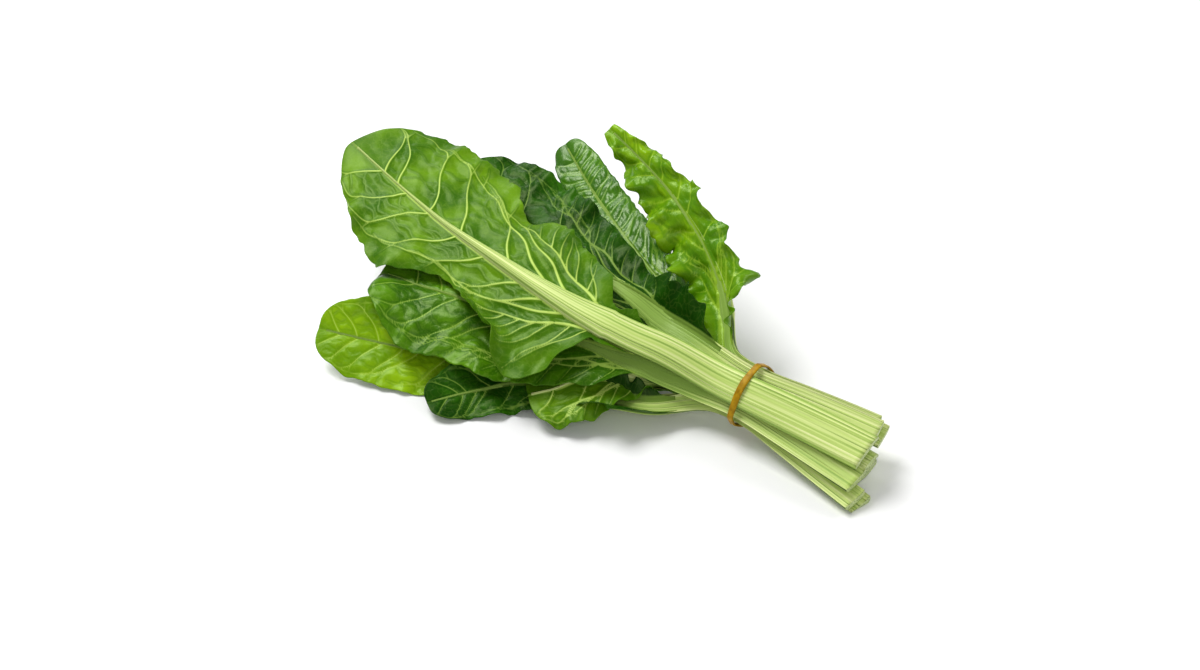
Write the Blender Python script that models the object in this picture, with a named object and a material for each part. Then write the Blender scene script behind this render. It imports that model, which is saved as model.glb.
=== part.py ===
"""A bunch of green chard tied with a rubber band, lying on a table.

+X runs along the bunch from the leaf tips to the cut ends, +Y to its far side and +Z up.
The origin is on the table under the middle of the bunch. Units are metres and degrees.
"""

import math

import bpy
import numpy as np

# The tie: where the band holds the stalks, seen along the bunch
TIE_CENTRE = (0.0, 0.025)  # y and z of the middle of the stalks under the band
TIE_TILT = 45.0  # the layers of stalks lean back by this at the band
CUT_CENTRE = (0.004, 0.0150)  # y and z of the middle of the cut ends
CUT_TILT = 19.0
CUT_LENGTH = 0.090  # how far a typical stalk runs past the band
CUT_SPREAD = (2.0, 0.92)  # how much wider and deeper the layers lie at the cut ends
LEAF_SIDE_LENGTH = 0.022  # just past the band the stalks still lie in their layers
LEAF_SIDE_SPREAD = (1.20, 1.12)
LAYER_PLACES = (0.066, 0.044, 0.024, 0.008, -0.008, -0.022)  # x of points between cut and leaf
BAND_REACH = 0.005  # the stalks run straight this far to each side of the band

BAND_WIDTH = 0.0046
BAND_THICKNESS = 0.0014
BAND_GAP = 0.0005
BAND_SIDES = 56

# Every leaf
BLADE_THICKNESS = 0.0010
PART_GAP = 0.0004  # between a blade and the stalk under it
MIDRIB_END = 0.94  # share of the blade's length that the midrib runs
TIP_HALF_WIDTH = 0.0006
ROUND_BACK = ((0.84, 0.50), (0.45, 0.90), (0.0, 1.0))  # across and down, shares of the section
EDGE_DEPTH = 0.5  # depth of the section near its edges, as a share of the middle's
STALK_SHARE = 0.90  # the stalk is this much narrower than the strip of blade over it
CHANNEL = 0.11  # depth of the groove along a stalk's flat side, as a share of half its width
WING = 0.0040  # width of each half of the blade beside the stalk where the blade starts
TIP_WING = 0.0030  # and at its tip
CUT_STATIONS = 5  # rows of points from the cut end to the band
LEAF_STATIONS = 5  # and from the band to where the blade starts
BLADE_STATIONS = 19
TIP_CROWDING = 1.7  # above 1 the rows of points lie closer together towards the tip
SIDE_COLUMNS = 5  # columns of points on each half of a blade
QUILT = 0.0007  # how far the blade bulges between its side veins

# Laying the leaves on the table and on each other
MAP_CELL = 0.0012
MAP_LOW = (-0.36, -0.17)
MAP_SIZE = (400, 270)
LAY_CLEARANCE = 0.0011
LAY_SLOPE = 0.8  # a lifted leaf comes down no steeper than this beside what lifts it
LAY_PASSES = 110
NARROW_FROM = 0.052  # a leaf narrower than this near its tip is lifted level from side to side
NARROW_BELOW = 0.022
LAY_FROM_X = -0.026  # no leaf is lifted between here and the cut ends
LAY_FULL_X = -0.055
FINER = 7  # points added between two stations or columns while laying


class Leaf:
    """One leaf: its slot in the tie, its route to the tip, and the shape of its blade."""

    def __init__(self, name, slot, cut, route, stalk, blade, fold, rise, ruffle, back_up=False,
                 shape=(0.75, 0.42), near=(1.0, 0.0), curls=(), bays=(), shade="deep"):
        self.name = name
        self.slot = slot  # across and up in the layers of stalks at the band
        self.cut = cut  # length of stalk past the band
        self.route = route  # x, y, z and tilt towards the near side
        self.stalk = stalk  # width at the cut end, at the band and where the blade starts
        self.blade_length, self.blade_width = blade
        self.fold = fold  # slope of the near and far halves at the midrib
        self.rise = rise  # how much steeper they are at the margin
        self.ruffle_height, self.ruffle_waves = ruffle
        self.back_up = back_up  # True where the ribbed back of the leaf faces up
        self.shape = shape  # powers of the outline at the stalk and at the tip
        self.near = near  # the near half's share of the far half's width, and added tip power
        self.curls = curls  # side, middle, half length and angle of each rolled margin
        self.bays = bays  # side, middle, half length and depth of each bay in the outline
        self.shade = shade


# Bottom leaf first. Each one is laid on those before it.
LEAVES = [
    Leaf("leaf_front_low", slot=(-0.0116, -0.0035), cut=0.098,
         route=[(-0.060, -0.030, 0.008, 14), (-0.130, -0.058, 0.009, 22),
                (-0.200, -0.090, 0.014, 28), (-0.254, -0.117, 0.020, 30)],
         stalk=(0.0160, 0.0106, 0.0110), blade=(0.178, 0.060),
         fold=(6, 8), rise=(-10, 10), ruffle=(0.0020, 3.0), shade="bright"),
    Leaf("leaf_back_low", slot=(0.0, -0.0105), cut=0.084,
         route=[(-0.060, 0.024, 0.013, 4), (-0.110, 0.044, 0.010, -4),
                (-0.160, 0.060, 0.008, -8), (-0.212, 0.072, 0.006, -10)],
         stalk=(0.0180, 0.0170, 0.0130), blade=(0.155, 0.080),
         fold=(6, 4), rise=(8, -12), ruffle=(0.0035, 3.5)),
    Leaf("leaf_front_short", slot=(-0.0126, 0.0035), cut=0.096,
         route=[(-0.050, -0.036, 0.013, 16), (-0.092, -0.054, 0.009, 14),
                (-0.130, -0.072, 0.009, 20), (-0.163, -0.117, 0.007, 18)],
         stalk=(0.0165, 0.0112, 0.0100), blade=(0.110, 0.040),
         fold=(4, 4), rise=(-6, 14), ruffle=(0.0030, 3.2)),
    Leaf("leaf_front_middle", slot=(0.0, -0.0030), cut=0.088,
         route=[(-0.045, -0.010, 0.013, 6), (-0.072, -0.030, 0.012, 0),
                (-0.092, -0.052, 0.017, 8), (-0.114, -0.078, 0.014, 14)],
         stalk=(0.0160, 0.0112, 0.0100), blade=(0.076, 0.056),
         fold=(-2, -4), rise=(-6, -6), ruffle=(0.0028, 2.8), back_up=True, shade="bright"),
    Leaf("leaf_middle", slot=(0.0, -0.0035), cut=0.086,
         route=[(-0.060, 0.003, 0.020, 20), (-0.130, 0.002, 0.016, 10),
                (-0.200, 0.008, 0.016, 8), (-0.285, 0.018, 0.020, 8)],
         stalk=(0.0150, 0.0108, 0.0110), blade=(0.200, 0.088),
         fold=(4, 2), rise=(-4, -4), ruffle=(0.0026, 4.0)),
    Leaf("leaf_back_ribbed", slot=(0.0116, -0.0035), cut=0.082,
         route=[(-0.045, 0.021, 0.030, 24), (-0.090, 0.037, 0.032, 20),
                (-0.137, 0.052, 0.042, 28), (-0.181, 0.070, 0.049, 32),
                (-0.228, 0.092, 0.060, 38)],
         stalk=(0.0160, 0.0112, 0.0100), blade=(0.150, 0.035),
         fold=(12, 6), rise=(-14, -30), ruffle=(0.0012, 3.0), shape=(0.40, 0.36)),
    Leaf("leaf_front_high", slot=(-0.0087, 0.0105), cut=0.092,
         route=[(-0.060, -0.026, 0.030, 24), (-0.120, -0.041, 0.031, 22),
                (-0.180, -0.056, 0.035, 24), (-0.246, -0.067, 0.038, 20)],
         stalk=(0.0180, 0.0152, 0.0130), blade=(0.186, 0.092),
         fold=(4, 4), rise=(-10, -6), ruffle=(0.0034, 3.4)),
    Leaf("leaf_back_broad", slot=(0.0087, 0.0105), cut=0.084,
         route=[(-0.060, 0.004, 0.042, 30), (-0.110, 0.005, 0.044, 24),
                (-0.165, 0.010, 0.047, 20), (-0.218, 0.019, 0.049, 16),
                (-0.266, 0.030, 0.056, 15)],
         stalk=(0.0180, 0.0154, 0.0140), blade=(0.190, 0.086),
         fold=(4, 6), rise=(4, -10), ruffle=(0.0034, 4.0),
         curls=(("near", 0.20, 0.16, 50),)),
    Leaf("leaf_back_tall", slot=(0.0126, 0.0035), cut=0.078,
         route=[(-0.044, 0.028, 0.047, 48), (-0.072, 0.049, 0.065, 50),
                (-0.106, 0.062, 0.082, 52), (-0.141, 0.071, 0.093, 52),
                (-0.178, 0.077, 0.103, 48)],
         stalk=(0.0140, 0.0106, 0.0090), blade=(0.154, 0.034),
         near=(1.45, 0.0), fold=(2, 0), rise=(10, -14), ruffle=(0.0050, 4.6), shape=(0.30, 0.85),
         bays=(("far", 0.11, 0.13, -0.80), ("far", 0.42, 0.10, 0.20)),
         curls=(("far", 0.12, 0.13, -85),), shade="bright"),
    Leaf("leaf_top", slot=(0.0, 0.0102), cut=0.088,
         route=[(-0.070, -0.022, 0.0453, 30), (-0.130, -0.032, 0.0543, 20),
                (-0.185, -0.032, 0.0590, 14), (-0.242, -0.026, 0.066, 12),
                (-0.320, -0.012, 0.076, 12)],
         stalk=(0.0262, 0.0215, 0.0190), blade=(0.232, 0.116), near=(0.90, 0.30),
         shape=(0.62, 0.42), bays=(("near", 0.46, 0.17, 0.56), ("far", 0.44, 0.12, 0.25),
                                  ("near", 0.13, 0.12, -0.70)),
         fold=(-2, 0), rise=(-14, -12), ruffle=(0.0032, 4.5), back_up=True,
         curls=(("near", 0.30, 0.13, 120),), shade="bright"),
]


def natural_spline(knots, values, at):
    """The smooth curve through values at the knots, read at other places."""
    steps = np.diff(knots)
    slopes = np.diff(values, axis=0) / steps[:, None]
    count = len(knots)
    system = np.eye(count)
    target = np.zeros_like(values)
    for i in range(1, count - 1):
        system[i, i - 1:i + 2] = steps[i - 1], 2 * (steps[i - 1] + steps[i]), steps[i]
        target[i] = 6 * (slopes[i] - slopes[i - 1])
    bend = np.linalg.solve(system, target)
    span = np.clip(np.searchsorted(knots, at) - 1, 0, count - 2)
    before = ((knots[span + 1] - at) / steps[span])[:, None]
    after = 1 - before
    sag = (before ** 3 - before) * bend[span] + (after ** 3 - after) * bend[span + 1]
    return before * values[span] + after * values[span + 1] + sag * (steps[span] ** 2)[:, None] / 6


def smooth_step(low, high, x):
    t = np.clip((x - low) / (high - low), 0, 1)
    return t * t * (3 - 2 * t)


def unit(vectors):
    return vectors / np.linalg.norm(vectors, axis=-1, keepdims=True)


def in_layers(slot, x):
    """A point of the tied stalks: slot's place in the leaning layers at x, with its tilt."""
    if x >= 0:
        share, end, spread = (x / CUT_LENGTH) ** 1.2, CUT_CENTRE, CUT_SPREAD
        tilt = TIE_TILT + (CUT_TILT - TIE_TILT) * x / CUT_LENGTH
    else:
        share, end, spread = (-x / LEAF_SIDE_LENGTH) ** 1.4, TIE_CENTRE, LEAF_SIDE_SPREAD
        tilt = TIE_TILT
    lean = math.radians(tilt)
    centre = [a + (b - a) * share for a, b in zip(TIE_CENTRE, end)]
    across, up = (place * (1 + (s - 1) * share) for place, s in zip(slot, spread))
    y = centre[0] + across * math.cos(lean) - up * math.sin(lean)
    z = centre[1] + across * math.sin(lean) + up * math.cos(lean)
    return (x, y, z, tilt)


def route_points(leaf):
    """The points that a leaf's midline passes, from its cut end to its tip."""
    return np.array([in_layers(leaf.slot, x) for x in (leaf.cut, *LAYER_PLACES)] + leaf.route)


class Midline:
    """A leaf's midline: places, frames and the distance along it from the cut end."""

    def __init__(self, leaf):
        points = route_points(leaf)
        chords = np.linalg.norm(np.diff(points[:, :3], axis=0), axis=1)
        knots = np.concatenate([[0], np.cumsum(chords)])
        self.dense = natural_spline(knots, points, np.linspace(0, knots[-1], 600))
        runs = np.linalg.norm(np.diff(self.dense[:, :3], axis=0), axis=1)
        self.along = np.concatenate([[0], np.cumsum(runs)])
        self.length = self.along[-1]
        self.blade_start = self.length - leaf.blade_length
        self.band = np.interp(0, -self.dense[:, 0], self.along)

    def read(self, at):
        """Centre, the direction to the far side and the up direction at distances along."""
        place = np.stack([np.interp(at, self.along, self.dense[:, k]) for k in range(4)], axis=1)
        step = 0.002
        ahead, behind = (np.stack([np.interp(np.clip(at + d, 0, self.length), self.along,
                                             self.dense[:, k]) for k in range(3)], axis=1)
                         for d in (step, -step))
        run = unit(ahead - behind)
        level = unit(np.cross(run, [0, 0, 1]))
        raised = np.cross(level, run)
        tilt = np.radians(place[:, 3])[:, None]
        far = np.cos(tilt) * level + np.sin(tilt) * raised
        up = np.cos(tilt) * raised - np.sin(tilt) * level
        return place[:, :3], far, up


def stalk_half_width(leaf, line, at):
    """Half the stalk's width, and then half the midrib's, at distances along."""
    cut, band, base = (w / 2 for w in leaf.stalk)
    stalk = np.interp(at, [0, line.band, line.blade_start], [cut, band, base])
    t = np.clip((at - line.blade_start) / leaf.blade_length, 0, 1)
    return np.where(t > 0, base * (1 - t) ** 1.7 + TIP_HALF_WIDTH, stalk)


def stalk_depth(leaf, line, at):
    """How thick the stalk is, and then how far the midrib stands out."""
    half = stalk_half_width(leaf, line, at)
    flat = 0.0052 * smooth_step(0, 0.0055, half)
    return np.maximum(flat, 0.8 * TIP_HALF_WIDTH)


def blade_half_width(leaf, line, at, side):
    """The width of one half of the blade at distances along, from the stalk's middle."""
    t = np.clip((at - line.blade_start) / leaf.blade_length, 0, 1)
    share, slimmer = leaf.near if side == "near" else (1, 0)
    a, b = leaf.shape[0], leaf.shape[1] + slimmer
    peak = (a / (a + b)) ** a * (b / (a + b)) ** b
    outline = t ** a * (1 - t) ** b / peak
    for bay_side, middle, reach, depth in leaf.bays:
        if bay_side == side:
            outline = outline * (1 - depth * np.maximum(0, 1 - ((t - middle) / reach) ** 2) ** 1.5)
    edge = stalk_half_width(leaf, line, at) + PART_GAP
    wing = np.where(at < line.blade_start - 1e-9, 0, WING * (1 - t) + TIP_WING * t)
    return edge + wing + outline * share * (leaf.blade_width / 2 - edge - wing)


def waves_of(leaf):
    """Four phases of the margin's waves, two for each half."""
    seed = sum(ord(letter) for letter in leaf.name)
    return np.random.default_rng(seed).uniform(0, 2 * math.pi, 4)


def half_profile(leaf, side, t, out):
    """Shares of the half width across and up at shares `out` of one half blade, at share t."""
    fine = np.linspace(0, 1, 41)
    which = 0 if side == "near" else 1
    angle = np.radians(leaf.fold[which]) + np.radians(leaf.rise[which]) * fine
    angle = angle * smooth_step(-0.02, 0.14, t)
    for curl_side, middle, reach, turn in leaf.curls:
        if curl_side == side:
            strength = max(0.0, 1 - ((t - middle) / reach) ** 2) ** 1.5
            angle = angle + math.radians(turn) * strength * smooth_step(0.5, 1.0, fine)
    steps = np.diff(fine)
    across = np.concatenate([[0], np.cumsum(np.cos((angle[1:] + angle[:-1]) / 2) * steps)])
    up = np.concatenate([[0], np.cumsum(np.sin((angle[1:] + angle[:-1]) / 2) * steps)])
    phases = waves_of(leaf)[2 * which:2 * which + 2]
    turns = 2 * math.pi * leaf.ruffle_waves * t
    height = leaf.ruffle_height / (leaf.blade_width / 2)
    height *= smooth_step(0.02, 0.16, t) * (1 - 0.7 * smooth_step(0.82, 1.0, t))
    wave = out ** 2 * np.sin(turns + phases[0]) + 0.45 * out ** 3 * np.sin(2.3 * turns + phases[1])
    return np.interp(out, fine, across), np.interp(out, fine, up) + height * wave


def column_shares(leaf, line, at, side):
    """Shares of the blade's half width at the columns of one half, for each distance along."""
    half = blade_half_width(leaf, line, at, side)
    edge = stalk_half_width(leaf, line, at) + PART_GAP
    first = edge / half
    steps = np.linspace(0, 1, SIDE_COLUMNS)
    return np.concatenate([np.zeros((len(at), 1)), first[:, None] + (1 - first)[:, None] * steps], 1)


def leaf_surface(leaf, line, at):
    """Points of the leaf's middle surface: rows at distances along, columns near to far."""
    centre, far, up = line.read(at)
    sides = []
    for side, sign in (("near", -1), ("far", 1)):
        half = blade_half_width(leaf, line, at, side)
        shares = column_shares(leaf, line, at, side)
        rows = []
        for i, distance in enumerate(at):
            t = np.clip((distance - line.blade_start) / leaf.blade_length, 0, 1)
            across, height = half_profile(leaf, side, t, shares[i])
            rows.append(centre[i] + half[i] * (sign * across[:, None] * far[i]
                                               + height[:, None] * up[i]))
        sides.append(np.array(rows))
    return np.concatenate([sides[0][:, :0:-1], sides[1]], axis=1)


def stations(line):
    """Distances along for the rows of points: stalk rows, then closer rows to the tip."""
    stalk = np.concatenate([
        np.linspace(0, line.band - BAND_REACH, CUT_STATIONS),
        np.linspace(line.band + BAND_REACH, line.blade_start, LEAF_STATIONS + 1)[:-1],
    ])
    share = 1 - (1 - np.linspace(0, 1, BLADE_STATIONS + 1)) ** TIP_CROWDING
    return np.concatenate([stalk, line.blade_start + share * (line.length - line.blade_start)])


def places(count, times):
    """The step below and the share of a step above it, for places added evenly along steps."""
    at = np.linspace(0, count - 1, (count - 1) * times + 1)
    low = np.minimum(at.astype(int), count - 2)
    return low, at - low


def finer_grid(grid, times):
    """The grid with points added evenly on the flat triangles of its faces."""
    i, u = places(len(grid), times)
    j, v = places(grid.shape[1], times)
    near = j < grid.shape[1] // 2
    outer, inner = np.where(near, j, j + 1), np.where(near, j + 1, j)
    v = np.where(near, 1 - v, v)
    share = (1,) * (grid.ndim - 2)
    u, v = u.reshape(-1, 1, *share), v.reshape(1, -1, *share)
    a, b = grid[i][:, inner], grid[i][:, outer]
    c, d = grid[i + 1][:, inner], grid[i + 1][:, outer]
    return np.where(v > u, a + (b - a) * v + (d - b) * u, a + (c - a) * u + (d - c) * v)


def widest(field, reach, axis):
    """Each value becomes the largest within reach along the axis."""
    pad = [(reach, reach) if k == axis else (0, 0) for k in range(field.ndim)]
    padded = np.pad(field, pad, mode="edge")
    size = field.shape[axis]
    return np.max([np.take(padded, range(d, d + size), axis) for d in range(2 * reach + 1)], axis=0)


def blurred(field, reach, axis):
    pad = [(reach, reach) if k == axis else (0, 0) for k in range(field.ndim)]
    padded = np.pad(field, pad, mode="edge")
    size = field.shape[axis]
    return np.mean([np.take(padded, range(d, d + size), axis) for d in range(2 * reach + 1)], axis=0)


def eased(need, points):
    """The least lift that covers the need and falls away from it no steeper than allowed."""
    lift = need.copy()
    along = LAY_SLOPE * np.linalg.norm(np.diff(points, axis=0), axis=-1)
    across = LAY_SLOPE * np.linalg.norm(np.diff(points, axis=1), axis=-1)
    for _ in range(LAY_PASSES):
        lift[1:] = np.maximum(lift[1:], lift[:-1] - along)
        lift[:-1] = np.maximum(lift[:-1], lift[1:] - along)
        lift[:, 1:] = np.maximum(lift[:, 1:], lift[:, :-1] - across)
        lift[:, :-1] = np.maximum(lift[:, :-1], lift[:, 1:] - across)
    return lift


def map_cells(points):
    """The height map's cell under each point."""
    cells = np.floor((points[..., :2] - MAP_LOW) / MAP_CELL).astype(int)
    return np.clip(cells[..., 0], 0, MAP_SIZE[0] - 1), np.clip(cells[..., 1], 0, MAP_SIZE[1] - 1)


def surface_normals(line, at, points):
    """Up-facing unit normals of a grid of points: the midline's own along the stalk."""
    along = np.gradient(points, axis=0)
    across = np.gradient(points, axis=1)
    normals = np.repeat(line.read(at)[2][:, None], points.shape[1], axis=1)
    blade = at >= line.blade_start - 1e-9
    normals[blade] = unit(np.cross(across, along)[blade])
    return normals


def lay(leaf, line, at, points, heights):
    """How far each grid point is lifted so that the leaf clears what lies beneath it."""
    normals = surface_normals(line, at, points)
    steep = np.maximum(np.abs(normals[..., 2]), 0.5)
    depth = np.zeros(points.shape[:2])
    middle = slice(SIDE_COLUMNS - 1, SIDE_COLUMNS + 2)
    on_stalk = at < line.blade_start
    depth[on_stalk] = EDGE_DEPTH
    depth[:, middle] = (EDGE_DEPTH, 1, EDGE_DEPTH)
    depth *= stalk_depth(leaf, line, at)[:, None] + PART_GAP
    depth += BLADE_THICKNESS / 2
    skin = np.full(points.shape[:2], BLADE_THICKNESS / 2)
    skin[~on_stalk, :middle.start] += QUILT
    skin[~on_stalk, middle.stop:] += QUILT
    depth = np.maximum(depth, skin)
    below, above = (skin, depth) if leaf.back_up else (depth, skin)
    fine = finer_grid(points, FINER)
    fine_below = finer_grid(np.broadcast_to(below / steep, points.shape[:2]), FINER)
    fine_above = finer_grid(np.broadcast_to(above / steep, points.shape[:2]), FINER)
    beneath = heights[map_cells(fine)]
    need = np.maximum(beneath + LAY_CLEARANCE - (fine[..., 2] - fine_below), 0) * (beneath > 0)
    free = smooth_step(-LAY_FROM_X, -LAY_FULL_X, -fine[..., 0])
    need = need * free
    stalk_rows = int(on_stalk.sum()) * FINER
    need[:stalk_rows] = need[:stalk_rows].max(axis=1, keepdims=True)
    lift = eased(need, fine)
    for axis in (0, 1, 0, 1):
        lift = blurred(widest(lift, 1, axis), 2, axis)
    lift = np.maximum(lift, eased(need, fine))
    lift = widest(widest(lift, FINER // 2, 0), FINER // 2, 1)[::FINER, ::FINER]
    lift[:, middle] = lift[:, middle].max(axis=1, keepdims=True)
    lift[on_stalk] = lift[on_stalk].max(axis=1, keepdims=True)
    width = np.linalg.norm(points[:, -1] - points[:, 0], axis=-1)[:, None]
    narrow = smooth_step(-NARROW_FROM, -NARROW_BELOW, -width) * ~on_stalk[:, None]
    lift = lift * (1 - narrow) + lift[:, SIDE_COLUMNS][:, None] * narrow
    lift *= smooth_step(-LAY_FROM_X, -LAY_FULL_X, -points[..., 0])
    sunk = np.maximum((below - skin + BLADE_THICKNESS / 2) / steep - points[..., 2] - lift, 0)
    sunk[:, middle] = sunk[:, middle].max(axis=1, keepdims=True)
    sunk[on_stalk] = sunk[on_stalk].max(axis=1, keepdims=True)
    lift += sunk * (points[..., 0] < LAY_FROM_X)
    fine[..., 2] += finer_grid(lift, FINER)
    np.maximum.at(heights, map_cells(fine), fine[..., 2] + fine_above)
    return lift


def grow_map(heights):
    """The height map with each cell at the highest of itself and its neighbours."""
    return widest(widest(heights, 1, 0), 1, 1)


def arrange(leaves):
    """Each leaf's midline, stations and grid of points, laid one on another."""
    heights = np.zeros(MAP_SIZE)
    laid = []
    for leaf in leaves:
        line = Midline(leaf)
        at = stations(line)
        points = leaf_surface(leaf, line, at)
        below = grow_map(heights)
        lift = lay(leaf, line, at, points, below)
        heights = np.maximum(heights, below)
        points[..., 2] += lift
        laid.append((leaf, line, at, points))
    return laid


def grid_faces(rows, columns, start=0, flip=False):
    """Triangles of a grid, with each diagonal running outwards and towards the tip."""
    faces = []
    for i in range(rows - 1):
        for j in range(columns - 1):
            a, b = start + i * columns + j, start + i * columns + j + 1
            c, d = a + columns, b + columns
            if j < columns // 2:
                pair = [(a, b, c), (b, d, c)]
            else:
                pair = [(a, b, d), (a, d, c)]
            faces += [face[::-1] for face in pair] if flip else pair
    return faces


def rim_faces(rows, columns, start, other):
    """Triangles that join the borders of two like grids."""
    ring = [j for j in range(columns)]
    ring += [i * columns + columns - 1 for i in range(1, rows)]
    ring += [(rows - 1) * columns + j for j in range(columns - 2, -1, -1)]
    ring += [i * columns for i in range(rows - 2, 0, -1)]
    faces = []
    for k, a in enumerate(ring):
        b = ring[(k + 1) % len(ring)]
        faces += [(start + a, other + a, other + b), (start + a, other + b, start + b)]
    return faces


def make_object(name, points, faces, material):
    mesh = bpy.data.meshes.new(name)
    mesh.from_pydata([tuple(map(float, p)) for p in points], [], faces)
    mesh.materials.append(material)
    mesh.validate()
    mesh.shade_smooth()
    mesh.set_sharp_from_angle(angle=math.radians(50))
    made = bpy.data.objects.new(name, mesh)
    bpy.context.scene.collection.objects.link(made)
    return made


def quilted(points, normals, side):
    """The blade's grid with its vein nodes pushed to the back and the rest bulging."""
    made = points.copy()
    rows, columns = points.shape[:2]
    for i in range(1, rows - 1):
        for j in range(1, columns - 1):
            out = abs(j - columns // 2)
            if out >= 2:
                on_vein = (i - out) % 2 == 0
                made[i, j] += normals[i, j] * side * QUILT * (-1 if on_vein else 1)
    return made


def blade_solid(leaf, line, at, points, material):
    """The blade: one thin waved sheet that passes over the midrib."""
    first = int(np.argmax(at >= line.blade_start - 1e-9))
    sheet = points[first:]
    normals = surface_normals(line, at[first:], sheet)
    adaxial = -1 if leaf.back_up else 1
    sheet = quilted(sheet, normals, adaxial)
    upper = sheet + normals * BLADE_THICKNESS / 2
    lower = sheet - normals * BLADE_THICKNESS / 2
    sunk = np.maximum(-lower[..., 2], 0)
    upper[..., 2] += sunk
    lower[..., 2] += sunk
    rows, columns = sheet.shape[:2]
    count = rows * columns
    faces = grid_faces(rows, columns, 0)
    faces += grid_faces(rows, columns, count, flip=True)
    faces += rim_faces(rows, columns, 0, count)
    both = np.concatenate([upper.reshape(-1, 3), lower.reshape(-1, 3)])
    return make_object(leaf.name + "_blade", both, faces, material)


def stalk_solid(leaf, line, at, points, material):
    """The stalk and midrib: flat or channelled on the blade's side, rounded on its back."""
    last = line.blade_start + MIDRIB_END * leaf.blade_length
    rows = int(np.sum(at <= last))
    normals = surface_normals(line, at, points)
    back = 1 if leaf.back_up else -1
    depth = stalk_depth(leaf, line, at)
    beside = np.clip((at - line.blade_start) / leaf.blade_length, 0, 1)
    channel = CHANNEL * stalk_half_width(leaf, line, at) * (1 - smooth_step(0, 0.12, beside))
    middle = SIDE_COLUMNS
    rings = []
    for i in range(rows):
        left, centre, right = (points[i, j] for j in (middle - 1, middle, middle + 1))
        if at[i] < line.blade_start:
            left, right = points[i, 0], points[i, -1]
        out = normals[i, middle] * back
        left, right = (centre + STALK_SHARE * (p - centre) for p in (left, right))
        skin = BLADE_THICKNESS / 2 + PART_GAP
        top = [p + n * back * skin for p, n in
               ((left, normals[i, middle - 1]), (centre, normals[i, middle]),
                (right, normals[i, middle + 1]))]
        bottom = []
        for share, drop in ROUND_BACK:
            bottom.append(centre + (right - centre) * share + out * (skin + depth[i] * drop))
        for share, drop in ROUND_BACK[-2::-1]:
            bottom.append(centre + (left - centre) * share + out * (skin + depth[i] * drop))
        top[1] = top[1] + out * channel[i]
        ring = np.array(top + bottom)
        ring[:, 2] = np.maximum(ring[:, 2], 0)
        rings.append(ring)
    rings = np.array(rings)
    sides = rings.shape[1]
    faces = []
    for i in range(rows - 1):
        for j in range(sides):
            a, b = i * sides + j, i * sides + (j + 1) % sides
            c, d = a + sides, b + sides
            faces += [(a, b, d), (a, d, c)]
    flat = rings.reshape(-1, 3)
    keel = 5  # the point in the middle of the stalk's back
    ends = [((keel + k) % sides, (keel + k + 1) % sides, keel) for k in range(1, sides - 1)]
    tip = (rows - 1) * sides
    faces += [(b, a, c) for a, b, c in ends]
    faces += [(tip + a, tip + b, tip + c) for a, b, c in ends]
    if leaf.back_up:
        faces = [face[::-1] for face in faces]
    return make_object(leaf.name + "_stalk", flat, faces, material)


def band_solid(laid, material):
    """The rubber band: a closed strap drawn tight round all the stalks."""
    across = []
    for leaf, line, at, _ in laid:
        near = line.band + np.array([-BAND_REACH, BAND_REACH])
        rows = leaf_surface(leaf, line, near)
        centre, far, up = line.read(near)
        back = 1 if leaf.back_up else -1
        half = stalk_half_width(leaf, line, near)[:, None]
        depth = stalk_depth(leaf, line, near)[:, None]
        skin = BLADE_THICKNESS / 2 + PART_GAP
        across += [rows[:, 0], rows[:, -1]]
        for share, drop in ROUND_BACK:
            for sign in (-1, 1):
                across.append(centre + far * half * share * sign + up * back * (skin + depth * drop))
    outline = np.concatenate(across)[:, 1:] - TIE_CENTRE
    turns = np.linspace(0, 2 * math.pi, 4 * BAND_SIDES, endpoint=False)
    facing = np.stack([np.cos(turns), np.sin(turns)], axis=1)
    support = (outline @ facing.T).max(axis=0) + BAND_GAP
    around = np.linspace(0, 2 * math.pi, BAND_SIDES, endpoint=False)
    lean = np.cos(around[:, None] - turns[None, :])
    radius = np.where(lean > 0.05, support[None, :] / np.maximum(lean, 0.05), 1.0).min(axis=1)
    inner = radius / math.cos(math.pi / BAND_SIDES)
    section = ((inner, 1), (inner + BAND_THICKNESS, 1), (inner + BAND_THICKNESS, -1), (inner, -1))
    points, faces = [], []
    for k, turn in enumerate(around):
        for reach, side in section:
            points.append((side * BAND_WIDTH / 2, TIE_CENTRE[0] + reach[k] * math.cos(turn),
                           TIE_CENTRE[1] + reach[k] * math.sin(turn)))
        for j in range(4):
            a, b = 4 * k + j, 4 * k + (j + 1) % 4
            c, d = (a + 4) % (4 * BAND_SIDES), (b + 4) % (4 * BAND_SIDES)
            faces += [(a, b, d), (a, d, c)]
    return make_object("rubber_band", points, faces, material)


def make_material(name, colour, roughness):
    material = bpy.data.materials.new(name)
    material.use_nodes = True
    shader = material.node_tree.nodes["Principled BSDF"]
    shader.inputs["Base Color"].default_value = (*colour, 1)
    shader.inputs["Roughness"].default_value = roughness
    shader.inputs["Metallic"].default_value = 0
    return material


def centre_on_table(objects):
    """Moves the bunch so that the origin is on the table under the middle of its box."""
    points = np.concatenate([[v.co for v in made.data.vertices] for made in objects])
    low, high = points.min(axis=0), points.max(axis=0)
    shift = (-(low[0] + high[0]) / 2, -(low[1] + high[1]) / 2, -low[2])
    for made in objects:
        made.location = shift


def main():
    for old in list(bpy.data.objects):
        bpy.data.objects.remove(old)
    stalk_green = make_material("stalk", (0.62, 0.72, 0.33), 0.38)
    greens = {"deep": make_material("blade_deep", (0.07, 0.20, 0.03), 0.40),
              "bright": make_material("blade_bright", (0.16, 0.34, 0.05), 0.42)}
    ochre = make_material("band", (0.55, 0.30, 0.04), 0.55)
    laid = arrange(LEAVES)
    made = []
    for leaf, line, at, points in laid:
        made.append(stalk_solid(leaf, line, at, points, stalk_green))
        made.append(blade_solid(leaf, line, at, points, greens[leaf.shade]))
    made.append(band_solid(laid, ochre))
    centre_on_table(made)


main()
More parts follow.
